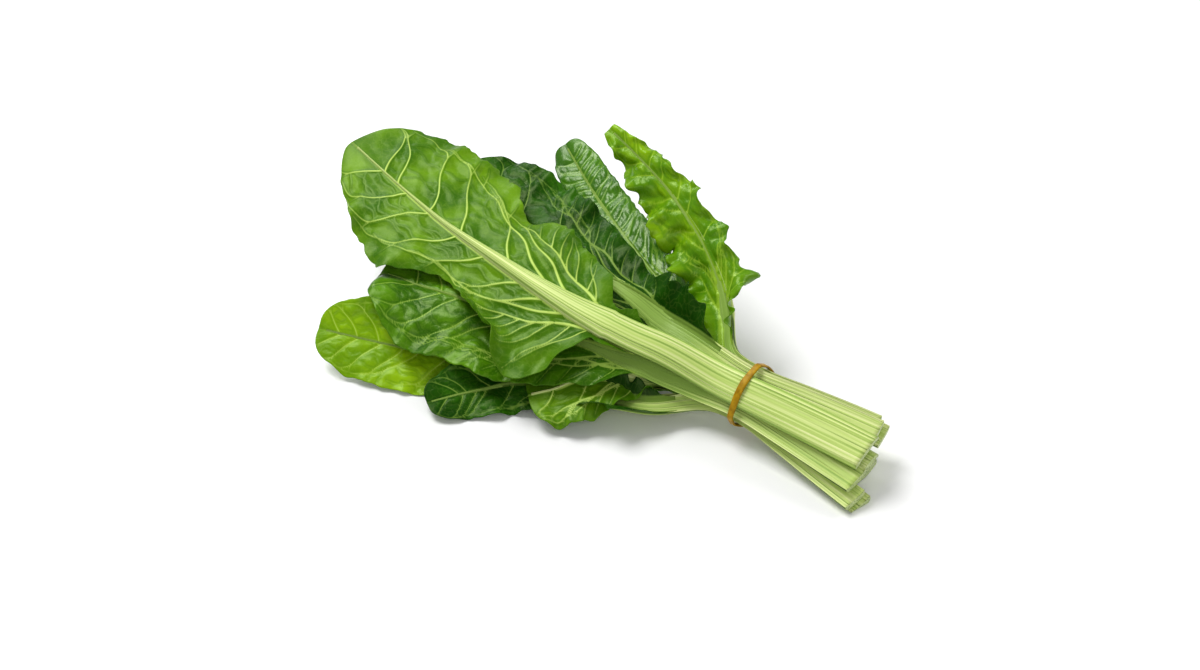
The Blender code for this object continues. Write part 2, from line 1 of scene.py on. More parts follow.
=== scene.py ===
"""The looks of a bunch of green chard tied with a rubber band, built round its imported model.

Every leaf follows the same route and outline as its solid, with a fine surface: side veins,
a quilted blade between them, crinkled margins and a ribbed stalk. Units are metres and degrees.
"""

import math

import bpy
import numpy as np
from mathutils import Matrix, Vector, kdtree

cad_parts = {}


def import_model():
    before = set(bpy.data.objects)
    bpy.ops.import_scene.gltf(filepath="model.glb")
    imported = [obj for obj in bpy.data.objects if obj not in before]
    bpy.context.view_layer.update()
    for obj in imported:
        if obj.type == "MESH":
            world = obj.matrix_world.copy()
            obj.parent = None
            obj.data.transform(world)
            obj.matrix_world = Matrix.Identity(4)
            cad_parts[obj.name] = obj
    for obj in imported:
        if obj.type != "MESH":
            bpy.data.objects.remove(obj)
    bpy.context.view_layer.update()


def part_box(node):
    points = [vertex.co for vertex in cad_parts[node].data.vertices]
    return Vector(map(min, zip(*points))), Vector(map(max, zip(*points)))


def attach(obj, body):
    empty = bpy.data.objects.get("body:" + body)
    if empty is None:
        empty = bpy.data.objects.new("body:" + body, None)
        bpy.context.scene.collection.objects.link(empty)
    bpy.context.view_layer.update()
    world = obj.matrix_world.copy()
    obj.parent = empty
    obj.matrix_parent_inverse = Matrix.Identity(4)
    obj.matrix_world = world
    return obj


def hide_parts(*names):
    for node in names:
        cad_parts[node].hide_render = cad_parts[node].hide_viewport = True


# The tie: where the band holds the stalks, seen along the bunch
TIE_CENTRE = (0.0, 0.025)  # y and z of the middle of the stalks under the band
TIE_TILT = 45.0  # the layers of stalks lean back by this at the band
CUT_CENTRE = (0.004, 0.0150)  # y and z of the middle of the cut ends
CUT_TILT = 19.0
CUT_LENGTH = 0.090  # how far a typical stalk runs past the band
CUT_SPREAD = (2.0, 0.92)  # how much wider and deeper the layers lie at the cut ends
LEAF_SIDE_LENGTH = 0.022  # just past the band the stalks still lie in their layers
LEAF_SIDE_SPREAD = (1.20, 1.12)
LAYER_PLACES = (0.066, 0.044, 0.024, 0.008, -0.008, -0.022)  # x of points between cut and leaf
BAND_REACH = 0.005  # the stalks run straight this far to each side of the band

BAND_WIDTH = 0.0046
BAND_THICKNESS = 0.0014
BAND_GAP = 0.0005
BAND_SIDES = 56

# Every leaf
BLADE_THICKNESS = 0.0010
PART_GAP = 0.0004  # between a blade and the stalk under it
TIP_HALF_WIDTH = 0.0006
ROUND_BACK = ((0.84, 0.50), (0.45, 0.90), (0.0, 1.0))  # across and down, shares of the section
EDGE_DEPTH = 0.5  # depth of the section near its edges, as a share of the middle's
CHANNEL = 0.11  # depth of the groove along a stalk's flat side, as a share of half its width
WING = 0.0040  # width of each half of the blade beside the stalk where the blade starts
TIP_WING = 0.0030  # and at its tip
CUT_STATIONS = 5  # rows of points from the cut end to the band
LEAF_STATIONS = 5  # and from the band to where the blade starts
BLADE_STATIONS = 19
TIP_CROWDING = 1.7  # above 1 the rows of points lie closer together towards the tip
SIDE_COLUMNS = 5  # columns of points on each half of a blade
QUILT = 0.0007  # how far the blade bulges between its side veins

# Laying the leaves on the table and on each other
MAP_CELL = 0.0012
MAP_LOW = (-0.36, -0.17)
MAP_SIZE = (400, 270)
LAY_CLEARANCE = 0.0011
LAY_SLOPE = 0.8  # a lifted leaf comes down no steeper than this beside what lifts it
LAY_PASSES = 110
NARROW_FROM = 0.052  # a leaf narrower than this near its tip is lifted level from side to side
NARROW_BELOW = 0.022
LAY_FROM_X = -0.026  # no leaf is lifted between here and the cut ends
LAY_FULL_X = -0.055
FINER = 7  # points added between two stations or columns while laying


class Leaf:
    """One leaf: its slot in the tie, its route to the tip, and the shape of its blade."""

    def __init__(self, name, slot, cut, route, stalk, blade, fold, rise, ruffle, back_up=False,
                 shape=(0.75, 0.42), near=(1.0, 0.0), curls=(), bays=(), shade="deep"):
        self.name = name
        self.slot = slot  # across and up in the layers of stalks at the band
        self.cut = cut  # length of stalk past the band
        self.route = route  # x, y, z and tilt towards the near side
        self.stalk = stalk  # width at the cut end, at the band and where the blade starts
        self.blade_length, self.blade_width = blade
        self.fold = fold  # slope of the near and far halves at the midrib
        self.rise = rise  # how much steeper they are at the margin
        self.ruffle_height, self.ruffle_waves = ruffle
        self.back_up = back_up  # True where the ribbed back of the leaf faces up
        self.shape = shape  # powers of the outline at the stalk and at the tip
        self.near = near  # the near half's share of the far half's width, and added tip power
        self.curls = curls  # side, middle, half length and angle of each rolled margin
        self.bays = bays  # side, middle, half length and depth of each bay in the outline
        self.shade = shade


# Bottom leaf first. Each one is laid on those before it.
LEAVES = [
    Leaf("leaf_front_low", slot=(-0.0116, -0.0035), cut=0.098,
         route=[(-0.060, -0.030, 0.008, 14), (-0.130, -0.058, 0.009, 22),
                (-0.200, -0.090, 0.014, 28), (-0.254, -0.117, 0.020, 30)],
         stalk=(0.0160, 0.0106, 0.0110), blade=(0.178, 0.060),
         fold=(6, 8), rise=(-10, 10), ruffle=(0.0020, 3.0), shade="bright"),
    Leaf("leaf_back_low", slot=(0.0, -0.0105), cut=0.084,
         route=[(-0.060, 0.024, 0.013, 4), (-0.110, 0.044, 0.010, -4),
                (-0.160, 0.060, 0.008, -8), (-0.212, 0.072, 0.006, -10)],
         stalk=(0.0180, 0.0170, 0.0130), blade=(0.155, 0.080),
         fold=(6, 4), rise=(8, -12), ruffle=(0.0035, 3.5)),
    Leaf("leaf_front_short", slot=(-0.0126, 0.0035), cut=0.096,
         route=[(-0.050, -0.036, 0.013, 16), (-0.092, -0.054, 0.009, 14),
                (-0.130, -0.072, 0.009, 20), (-0.163, -0.117, 0.007, 18)],
         stalk=(0.0165, 0.0112, 0.0100), blade=(0.110, 0.040),
         fold=(4, 4), rise=(-6, 14), ruffle=(0.0030, 3.2)),
    Leaf("leaf_front_middle", slot=(0.0, -0.0030), cut=0.088,
         route=[(-0.045, -0.010, 0.013, 6), (-0.072, -0.030, 0.012, 0),
                (-0.092, -0.052, 0.017, 8), (-0.114, -0.078, 0.014, 14)],
         stalk=(0.0160, 0.0112, 0.0100), blade=(0.076, 0.056),
         fold=(-2, -4), rise=(-6, -6), ruffle=(0.0028, 2.8), back_up=True, shade="bright"),
    Leaf("leaf_middle", slot=(0.0, -0.0035), cut=0.086,
         route=[(-0.060, 0.003, 0.020, 20), (-0.130, 0.002, 0.016, 10),
                (-0.200, 0.008, 0.016, 8), (-0.285, 0.018, 0.020, 8)],
         stalk=(0.0150, 0.0108, 0.0110), blade=(0.200, 0.088),
         fold=(4, 2), rise=(-4, -4), ruffle=(0.0026, 4.0)),
    Leaf("leaf_back_ribbed", slot=(0.0116, -0.0035), cut=0.082,
         route=[(-0.045, 0.021, 0.030, 24), (-0.090, 0.037, 0.032, 20),
                (-0.137, 0.052, 0.042, 28), (-0.181, 0.070, 0.049, 32),
                (-0.228, 0.092, 0.060, 38)],
         stalk=(0.0160, 0.0112, 0.0100), blade=(0.150, 0.035),
         fold=(12, 6), rise=(-14, -30), ruffle=(0.0012, 3.0), shape=(0.40, 0.36)),
    Leaf("leaf_front_high", slot=(-0.0087, 0.0105), cut=0.092,
         route=[(-0.060, -0.026, 0.030, 24), (-0.120, -0.041, 0.031, 22),
                (-0.180, -0.056, 0.035, 24), (-0.246, -0.067, 0.038, 20)],
         stalk=(0.0180, 0.0152, 0.0130), blade=(0.186, 0.092),
         fold=(4, 4), rise=(-10, -6), ruffle=(0.0034, 3.4)),
    Leaf("leaf_back_broad", slot=(0.0087, 0.0105), cut=0.084,
         route=[(-0.060, 0.004, 0.042, 30), (-0.110, 0.005, 0.044, 24),
                (-0.165, 0.010, 0.047, 20), (-0.218, 0.019, 0.049, 16),
                (-0.266, 0.030, 0.056, 15)],
         stalk=(0.0180, 0.0154, 0.0140), blade=(0.190, 0.086),
         fold=(4, 6), rise=(4, -10), ruffle=(0.0034, 4.0),
         curls=(("near", 0.20, 0.16, 50),)),
    Leaf("leaf_back_tall", slot=(0.0126, 0.0035), cut=0.078,
         route=[(-0.044, 0.028, 0.047, 48), (-0.072, 0.049, 0.065, 50),
                (-0.106, 0.062, 0.082, 52), (-0.141, 0.071, 0.093, 52),
                (-0.178, 0.077, 0.103, 48)],
         stalk=(0.0140, 0.0106, 0.0090), blade=(0.154, 0.034),
         near=(1.45, 0.0), fold=(2, 0), rise=(10, -14), ruffle=(0.0050, 4.6), shape=(0.30, 0.85),
         bays=(("far", 0.11, 0.13, -0.80), ("far", 0.42, 0.10, 0.20)),
         curls=(("far", 0.12, 0.13, -85),), shade="bright"),
    Leaf("leaf_top", slot=(0.0, 0.0102), cut=0.088,
         route=[(-0.070, -0.022, 0.0453, 30), (-0.130, -0.032, 0.0543, 20),
                (-0.185, -0.032, 0.0590, 14), (-0.242, -0.026, 0.066, 12),
                (-0.320, -0.012, 0.076, 12)],
         stalk=(0.0262, 0.0215, 0.0190), blade=(0.232, 0.116), near=(0.90, 0.30),
         shape=(0.62, 0.42), bays=(("near", 0.46, 0.17, 0.56), ("far", 0.44, 0.12, 0.25),
                                  ("near", 0.13, 0.12, -0.70)),
         fold=(-2, 0), rise=(-14, -12), ruffle=(0.0032, 4.5), back_up=True,
         curls=(("near", 0.30, 0.13, 120),), shade="bright"),
]


def natural_spline(knots, values, at):
    """The smooth curve through values at the knots, read at other places."""
    steps = np.diff(knots)
    slopes = np.diff(values, axis=0) / steps[:, None]
    count = len(knots)
    system = np.eye(count)
    target = np.zeros_like(values)
    for i in range(1, count - 1):
        system[i, i - 1:i + 2] = steps[i - 1], 2 * (steps[i - 1] + steps[i]), steps[i]
        target[i] = 6 * (slopes[i] - slopes[i - 1])
    bend = np.linalg.solve(system, target)
    span = np.clip(np.searchsorted(knots, at) - 1, 0, count - 2)
    before = ((knots[span + 1] - at) / steps[span])[:, None]
    after = 1 - before
    sag = (before ** 3 - before) * bend[span] + (after ** 3 - after) * bend[span + 1]
    return before * values[span] + after * values[span + 1] + sag * (steps[span] ** 2)[:, None] / 6


def smooth_step(low, high, x):
    t = np.clip((x - low) / (high - low), 0, 1)
    return t * t * (3 - 2 * t)


def round_turns(count):
    """Angles evenly spaced round a circle."""
    return np.linspace(0, 2 * math.pi, count, endpoint=False)


def unit(vectors):
    return vectors / np.linalg.norm(vectors, axis=-1, keepdims=True)


def in_layers(slot, x):
    """A point of the tied stalks: slot's place in the leaning layers at x, with its tilt."""
    if x >= 0:
        share, end, spread = (x / CUT_LENGTH) ** 1.2, CUT_CENTRE, CUT_SPREAD
        tilt = TIE_TILT + (CUT_TILT - TIE_TILT) * x / CUT_LENGTH
    else:
        share, end, spread = (-x / LEAF_SIDE_LENGTH) ** 1.4, TIE_CENTRE, LEAF_SIDE_SPREAD
        tilt = TIE_TILT
    lean = math.radians(tilt)
    centre = [a + (b - a) * share for a, b in zip(TIE_CENTRE, end)]
    across, up = (place * (1 + (s - 1) * share) for place, s in zip(slot, spread))
    y = centre[0] + across * math.cos(lean) - up * math.sin(lean)
    z = centre[1] + across * math.sin(lean) + up * math.cos(lean)
    return (x, y, z, tilt)


def route_points(leaf):
    """The points that a leaf's midline passes, from its cut end to its tip."""
    return np.array([in_layers(leaf.slot, x) for x in (leaf.cut, *LAYER_PLACES)] + leaf.route)


class Midline:
    """A leaf's midline: places, frames and the distance along it from the cut end."""

    def __init__(self, leaf):
        points = route_points(leaf)
        chords = np.linalg.norm(np.diff(points[:, :3], axis=0), axis=1)
        knots = np.concatenate([[0], np.cumsum(chords)])
        self.dense = natural_spline(knots, points, np.linspace(0, knots[-1], 600))
        runs = np.linalg.norm(np.diff(self.dense[:, :3], axis=0), axis=1)
        self.along = np.concatenate([[0], np.cumsum(runs)])
        self.length = self.along[-1]
        self.blade_start = self.length - leaf.blade_length
        self.band = np.interp(0, -self.dense[:, 0], self.along)

    def read(self, at):
        """Centre, the direction to the far side and the up direction at distances along."""
        place = np.stack([np.interp(at, self.along, self.dense[:, k]) for k in range(4)], axis=1)
        step = 0.002
        ahead, behind = (np.stack([np.interp(np.clip(at + d, 0, self.length), self.along,
                                             self.dense[:, k]) for k in range(3)], axis=1)
                         for d in (step, -step))
        run = unit(ahead - behind)
        level = unit(np.cross(run, [0, 0, 1]))
        raised = np.cross(level, run)
        tilt = np.radians(place[:, 3])[:, None]
        far = np.cos(tilt) * level + np.sin(tilt) * raised
        up = np.cos(tilt) * raised - np.sin(tilt) * level
        return place[:, :3], far, up


def stalk_half_width(leaf, line, at):
    """Half the stalk's width, and then half the midrib's, at distances along."""
    cut, band, base = (w / 2 for w in leaf.stalk)
    stalk = np.interp(at, [0, line.band, line.blade_start], [cut, band, base])
    t = np.clip((at - line.blade_start) / leaf.blade_length, 0, 1)
    return np.where(t > 0, base * (1 - t) ** 1.7 + TIP_HALF_WIDTH, stalk)


def stalk_depth(leaf, line, at):
    """How thick the stalk is, and then how far the midrib stands out."""
    half = stalk_half_width(leaf, line, at)
    flat = 0.0052 * smooth_step(0, 0.0055, half)
    return np.maximum(flat, 0.8 * TIP_HALF_WIDTH)


def blade_half_width(leaf, line, at, side):
    """The width of one half of the blade at distances along, from the stalk's middle."""
    t = np.clip((at - line.blade_start) / leaf.blade_length, 0, 1)
    share, slimmer = leaf.near if side == "near" else (1, 0)
    a, b = leaf.shape[0], leaf.shape[1] + slimmer
    peak = (a / (a + b)) ** a * (b / (a + b)) ** b
    outline = t ** a * (1 - t) ** b / peak
    for bay_side, middle, reach, depth in leaf.bays:
        if bay_side == side:
            outline = outline * (1 - depth * np.maximum(0, 1 - ((t - middle) / reach) ** 2) ** 1.5)
    edge = stalk_half_width(leaf, line, at) + PART_GAP
    wing = np.where(at < line.blade_start - 1e-9, 0, WING * (1 - t) + TIP_WING * t)
    return edge + wing + outline * share * (leaf.blade_width / 2 - edge - wing)


def waves_of(leaf):
    """Four phases of the margin's waves, two for each half."""
    seed = sum(ord(letter) for letter in leaf.name)
    return np.random.default_rng(seed).uniform(0, 2 * math.pi, 4)


def half_profile(leaf, side, t, out):
    """Shares of the half width across and up at shares `out` of one half blade, at share t."""
    fine = np.linspace(0, 1, 121)
    which = 0 if side == "near" else 1
    angle = np.radians(leaf.fold[which]) + np.radians(leaf.rise[which]) * fine
    angle = angle * smooth_step(-0.02, 0.14, t)
    for curl_side, middle, reach, turn in leaf.curls:
        if curl_side == side:
            strength = max(0.0, 1 - ((t - middle) / reach) ** 2) ** 1.5
            angle = angle + math.radians(turn) * strength * smooth_step(0.5, 1.0, fine)
    steps = np.diff(fine)
    across = np.concatenate([[0], np.cumsum(np.cos((angle[1:] + angle[:-1]) / 2) * steps)])
    up = np.concatenate([[0], np.cumsum(np.sin((angle[1:] + angle[:-1]) / 2) * steps)])
    phases = waves_of(leaf)[2 * which:2 * which + 2]
    turns = 2 * math.pi * leaf.ruffle_waves * t
    height = leaf.ruffle_height / (leaf.blade_width / 2)
    height *= smooth_step(0.02, 0.16, t) * (1 - 0.7 * smooth_step(0.82, 1.0, t))
    wave = out ** 2 * np.sin(turns + phases[0]) + 0.45 * out ** 3 * np.sin(2.3 * turns + phases[1])
    return np.interp(out, fine, across), np.interp(out, fine, up) + height * wave


def column_shares(leaf, line, at, side):
    """Shares of the blade's half width at the columns of one half, for each distance along."""
    half = blade_half_width(leaf, line, at, side)
    edge = stalk_half_width(leaf, line, at) + PART_GAP
    first = edge / half
    steps = np.linspace(0, 1, SIDE_COLUMNS)
    return np.concatenate([np.zeros((len(at), 1)), first[:, None] + (1 - first)[:, None] * steps], 1)


def leaf_surface(leaf, line, at):
    """Points of the leaf's middle surface: rows at distances along, columns near to far."""
    centre, far, up = line.read(at)
    sides = []
    for side, sign in (("near", -1), ("far", 1)):
        half = blade_half_width(leaf, line, at, side)
        shares = column_shares(leaf, line, at, side)
        rows = []
        for i, distance in enumerate(at):
            t = np.clip((distance - line.blade_start) / leaf.blade_length, 0, 1)
            across, height = half_profile(leaf, side, t, shares[i])
            rows.append(centre[i] + half[i] * (sign * across[:, None] * far[i]
                                               + height[:, None] * up[i]))
        sides.append(np.array(rows))
    return np.concatenate([sides[0][:, :0:-1], sides[1]], axis=1)


def stations(line):
    """Distances along for the rows of points: stalk rows, then closer rows to the tip."""
    stalk = np.concatenate([
        np.linspace(0, line.band - BAND_REACH, CUT_STATIONS),
        np.linspace(line.band + BAND_REACH, line.blade_start, LEAF_STATIONS + 1)[:-1],
    ])
    share = 1 - (1 - np.linspace(0, 1, BLADE_STATIONS + 1)) ** TIP_CROWDING
    return np.concatenate([stalk, line.blade_start + share * (line.length - line.blade_start)])


def places(count, times):
    """The step below and the share of a step above it, for places added evenly along steps."""
    at = np.linspace(0, count - 1, (count - 1) * times + 1)
    low = np.minimum(at.astype(int), count - 2)
    return low, at - low


def finer_grid(grid, times):
    """The grid with points added evenly on the flat triangles of its faces."""
    i, u = places(len(grid), times)
    j, v = places(grid.shape[1], times)
    near = j < grid.shape[1] // 2
    outer, inner = np.where(near, j, j + 1), np.where(near, j + 1, j)
    v = np.where(near, 1 - v, v)
    share = (1,) * (grid.ndim - 2)
    u, v = u.reshape(-1, 1, *share), v.reshape(1, -1, *share)
    a, b = grid[i][:, inner], grid[i][:, outer]
    c, d = grid[i + 1][:, inner], grid[i + 1][:, outer]
    return np.where(v > u, a + (b - a) * v + (d - b) * u, a + (c - a) * u + (d - c) * v)


def widest(field, reach, axis):
    """Each value becomes the largest within reach along the axis."""
    pad = [(reach, reach) if k == axis else (0, 0) for k in range(field.ndim)]
    padded = np.pad(field, pad, mode="edge")
    size = field.shape[axis]
    return np.max([np.take(padded, range(d, d + size), axis) for d in range(2 * reach + 1)], axis=0)


def blurred(field, reach, axis):
    pad = [(reach, reach) if k == axis else (0, 0) for k in range(field.ndim)]
    padded = np.pad(field, pad, mode="edge")
    size = field.shape[axis]
    return np.mean([np.take(padded, range(d, d + size), axis) for d in range(2 * reach + 1)], axis=0)


def eased(need, points):
    """The least lift that covers the need and falls away from it no steeper than allowed."""
    lift = need.copy()
    along = LAY_SLOPE * np.linalg.norm(np.diff(points, axis=0), axis=-1)
    across = LAY_SLOPE * np.linalg.norm(np.diff(points, axis=1), axis=-1)
    for _ in range(LAY_PASSES):
        lift[1:] = np.maximum(lift[1:], lift[:-1] - along)
        lift[:-1] = np.maximum(lift[:-1], lift[1:] - along)
        lift[:, 1:] = np.maximum(lift[:, 1:], lift[:, :-1] - across)
        lift[:, :-1] = np.maximum(lift[:, :-1], lift[:, 1:] - across)
    return lift


def map_cells(points):
    """The height map's cell under each point."""
    cells = np.floor((points[..., :2] - MAP_LOW) / MAP_CELL).astype(int)
    return np.clip(cells[..., 0], 0, MAP_SIZE[0] - 1), np.clip(cells[..., 1], 0, MAP_SIZE[1] - 1)


def surface_normals(line, at, points):
    """Up-facing unit normals of a grid of points: the midline's own along the stalk."""
    along = np.gradient(points, axis=0)
    across = np.gradient(points, axis=1)
    normals = np.repeat(line.read(at)[2][:, None], points.shape[1], axis=1)
    blade = at >= line.blade_start - 1e-9
    normals[blade] = unit(np.cross(across, along)[blade])
    return normals


def lay(leaf, line, at, points, heights):
    """How far each grid point is lifted so that the leaf clears what lies beneath it."""
    normals = surface_normals(line, at, points)
    steep = np.maximum(np.abs(normals[..., 2]), 0.5)
    depth = np.zeros(points.shape[:2])
    middle = slice(SIDE_COLUMNS - 1, SIDE_COLUMNS + 2)
    on_stalk = at < line.blade_start
    depth[on_stalk] = EDGE_DEPTH
    depth[:, middle] = (EDGE_DEPTH, 1, EDGE_DEPTH)
    depth *= stalk_depth(leaf, line, at)[:, None] + PART_GAP
    depth += BLADE_THICKNESS / 2
    skin = np.full(points.shape[:2], BLADE_THICKNESS / 2)
    skin[~on_stalk, :middle.start] += QUILT
    skin[~on_stalk, middle.stop:] += QUILT
    depth = np.maximum(depth, skin)
    below, above = (skin, depth) if leaf.back_up else (depth, skin)
    fine = finer_grid(points, FINER)
    fine_below = finer_grid(np.broadcast_to(below / steep, points.shape[:2]), FINER)
    fine_above = finer_grid(np.broadcast_to(above / steep, points.shape[:2]), FINER)
    beneath = heights[map_cells(fine)]
    need = np.maximum(beneath + LAY_CLEARANCE - (fine[..., 2] - fine_below), 0) * (beneath > 0)
    free = smooth_step(-LAY_FROM_X, -LAY_FULL_X, -fine[..., 0])
    need = need * free
    stalk_rows = int(on_stalk.sum()) * FINER
    need[:stalk_rows] = need[:stalk_rows].max(axis=1, keepdims=True)
    lift = eased(need, fine)
    for axis in (0, 1, 0, 1):
        lift = blurred(widest(lift, 1, axis), 2, axis)
    lift = np.maximum(lift, eased(need, fine))
    lift = widest(widest(lift, FINER // 2, 0), FINER // 2, 1)[::FINER, ::FINER]
    lift[:, middle] = lift[:, middle].max(axis=1, keepdims=True)
    lift[on_stalk] = lift[on_stalk].max(axis=1, keepdims=True)
    width = np.linalg.norm(points[:, -1] - points[:, 0], axis=-1)[:, None]
    narrow = smooth_step(-NARROW_FROM, -NARROW_BELOW, -width) * ~on_stalk[:, None]
    lift = lift * (1 - narrow) + lift[:, SIDE_COLUMNS][:, None] * narrow
    lift *= smooth_step(-LAY_FROM_X, -LAY_FULL_X, -points[..., 0])
    sunk = np.maximum((below - skin + BLADE_THICKNESS / 2) / steep - points[..., 2] - lift, 0)
    sunk[:, middle] = sunk[:, middle].max(axis=1, keepdims=True)
    sunk[on_stalk] = sunk[on_stalk].max(axis=1, keepdims=True)
    lift += sunk * (points[..., 0] < LAY_FROM_X)
    fine[..., 2] += finer_grid(lift, FINER)
    np.maximum.at(heights, map_cells(fine), fine[..., 2] + fine_above)
    return lift


def grow_map(heights):
    """The height map with each cell at the highest of itself and its neighbours."""
    return widest(widest(heights, 1, 0), 1, 1)


def arrange(leaves):
    """Each leaf's midline, stations and lift, laid one on another."""
    heights = np.zeros(MAP_SIZE)
    laid = []
    for leaf in leaves:
        line = Midline(leaf)
        at = stations(line)
        points = leaf_surface(leaf, line, at)
        below = grow_map(heights)
        lift = lay(leaf, line, at, points, below)
        heights = np.maximum(heights, below)
        laid.append((leaf, line, at, lift))
    return laid


# Finer surfaces
BLADE_CELL = 0.0010  # spacing of a blade's points
STALK_CELL = 0.0030
STALK_SIDES = 96
BAND_STEPS = 240
BAND_CORNERS = 20
SKIN = 0.0006  # thickness of a blade
STALK_FILL = 0.965  # the stalk's share of the strip that it lies in
SEAT = 0.0003  # how far the midrib stands out of the blade's smooth side
FACE_DROP = 0.0002  # how far the midrib's face then lies below its seat
MIDRIB_REACH = 0.97  # share of the blade that the midrib runs
CUT_RINGS = (0.72, 0.36)  # rings of points on the cut end, as shares of its outline
RIBS = (9, 14)  # two sets of ribs across a stalk
RIB_HEIGHT = 0.00026
BASE_TAPER = 0.06  # share of the blade over which it widens from the stalk
SLIM = 0.7  # a higher power makes the midrib narrower along the blade
SINK = 0.0004  # how deep the blade lies in the midrib
COVER_RISE = 0.0008  # how far the blade's face rises where it covers the midrib's margins
TAIL_RISE = 0.9  # slope of the wings beside the stalk
TIP_GAP = 0.0005  # share of the blade left off at its tip
CLEAR_RIB = 0.006  # the wrinkles reach their height this far from the midrib
WRINKLE_LENGTHS = (0.024, 0.009)
QUILT_EDGE = 0.0034  # how soon the blade bulges beside a vein
PALE_EDGE = 0.0009  # how far the midrib's pale colour runs into the blade
BLADE_ABOVE_TABLE = 0.0003
STALK_ABOVE_TABLE = 0.0002

# Veins, whose widths fall from the first value to the second
VEIN_STEP = 0.0006
VEIN_SPAN = (0.02, 0.93)  # shares of the blade between which side veins start
VEIN_END = 0.985
VEIN_WIDTH = (0.0006, 0.00045)
BASE_VEIN_WIDTH = 0.0009  # added to the side veins nearest the stalk
THIN_VEIN_WIDTH = (0.0005, 0.0004)
OUTER_VEIN_WIDTH = (0.00045, 0.0004)
CROSS_VEIN_WIDTH = (0.0005, 0.0005)
LONGEST_VEIN = 0.12
LONGEST_OUTER = 0.03
LONGEST_BRANCH = 0.05
SWAY_LENGTH = 0.0065
BRANCH_GAP = 18  # steps between branches of the first side vein

FLOOR_SIZE = 6.0
PHOTO_SIZE = (1200, 670)
PIXEL = 0.00062  # metres on the bunch for each pixel of the photograph
CAMERA_TURN = (40.0, 38.0)  # degrees round from the near side, and up
LENS = 120.0
SENSOR = 36.0
TIE_IN_PHOTO = (750, 395)  # where the middle of the band is seen


class Look:
    """How a leaf's fine surface differs: veins, quilting, crinkles and colours."""

    def __init__(self, tone, gap=0.017, quilt=0.0009, ridge=0.0005, wrinkle=0.0006,
                 crinkle=(0.0015, 0.014), wobble=0.028, slant=56, tail=(0, 0, 0),
                 cover=(0.55, 0.35), broad=1.0, cell=BLADE_CELL, seed=1):
        self.tone = tone  # names the blade's colours
        self.gap = gap  # distance between side veins
        self.quilt = quilt  # how far the blade bulges between veins
        self.ridge = ridge  # how far the veins stand out of the back
        self.wrinkle = wrinkle
        self.crinkle = crinkle  # height and length of the small waves along the margin
        self.wobble = wobble  # unevenness of the outline, as a share of the width
        self.slant = slant  # angle at which side veins leave the midrib
        self.tail_length = tail[0]  # the wings that run on beside the stalk
        self.tail_width = {"near": tail[1], "far": tail[2]}
        self.cover = cover  # share of the midrib that the face covers, and from where on
        self.broad = broad  # how much wider than its solid the near half is
        self.cell = cell
        self.seed = seed


LOOKS = {
    "leaf_front_low": Look("light", gap=0.021, tail=(0.045, 0.010, 0.010), seed=11),
    "leaf_back_low": Look("dark", gap=0.022, tail=(0.020, 0.004, 0.006), seed=12),
    "leaf_front_short": Look("dark", gap=0.016, tail=(0.050, 0.012, 0.012), seed=13),
    "leaf_front_middle": Look("mid", gap=0.025, tail=(0.040, 0.007, 0.004), seed=24),
    "leaf_middle": Look("dark", gap=0.022, tail=(0.035, 0.008, 0.006), seed=15),
    "leaf_back_ribbed": Look("ribbed", gap=0.0075, quilt=0.0016, ridge=0.0007, slant=68,
                             tail=(0.050, 0.002, 0.013), cover=(0.80, 0.20), seed=16),
    "leaf_front_high": Look("mid", gap=0.025, seed=17),
    "leaf_back_broad": Look("dark", gap=0.034, wrinkle=0.0004, crinkle=(0.0024, 0.014),
                            tail=(0.050, 0.002, 0.016), seed=18),
    "leaf_back_tall": Look("frilled", gap=0.018, quilt=0.0016, wrinkle=0.0022, cover=(0.80, 0.25), broad=1.18,
                           crinkle=(0.0028, 0.010), wobble=0.10, tail=(0.024, 0.016, 0.008),
                           seed=19),
    "leaf_top": Look("mid", gap=0.036, quilt=0.0010, tail=(0.030, 0.004, 0.006), cell=0.0008,
                     seed=20),
}


def ripples(draw, wavelength, u, v, count=7):
    """Soft random waves over a leaf, mostly between -1 and 1."""
    total = 0
    for _ in range(count):
        turn, phase = draw.uniform(0, 2 * math.pi, 2)
        length = wavelength * draw.uniform(0.7, 1.5)
        total = total + np.sin((u * math.cos(turn) + v * math.sin(turn)) * 2 * math.pi / length + phase)
    return total / math.sqrt(2 * count)


def uneven(leaf, look, line, at, side, tail=False):
    """How much wider or narrower than its smooth outline one half of the blade is."""
    draw = np.random.default_rng(look.seed + (50 if side == "near" else 60))
    t = np.clip((at - line.blade_start) / leaf.blade_length, 0, 1)
    wave = ripples(draw, 0.016, at, 0) + 0.6 * ripples(draw, 0.006, at, 0)
    if tail:
        return 1 + 0.25 * wave
    return 1 + look.wobble * wave * smooth_step(0.03, 0.15, t) * (1 - smooth_step(0.9, 1.0, t))


def fine_lift(leaf, line, at, lift, fine_at, out):
    """The leaf's lift at its coarse points, read smoothly at finer rows and columns."""
    middle = SIDE_COLUMNS
    sides = []
    for side, columns in (("near", lift[:, middle::-1]), ("far", lift[:, middle:])):
        shares = column_shares(leaf, line, at, side)
        rows = np.array([np.interp(out, shares[i], columns[i]) for i in range(len(at))])
        sides.append(natural_spline(at, rows, fine_at))
    both = np.concatenate([sides[0][:, :0:-1], sides[1]], axis=1)
    reach = max(1, len(out) // 10)
    return blurred(blurred(both, reach, 1), reach, 1)


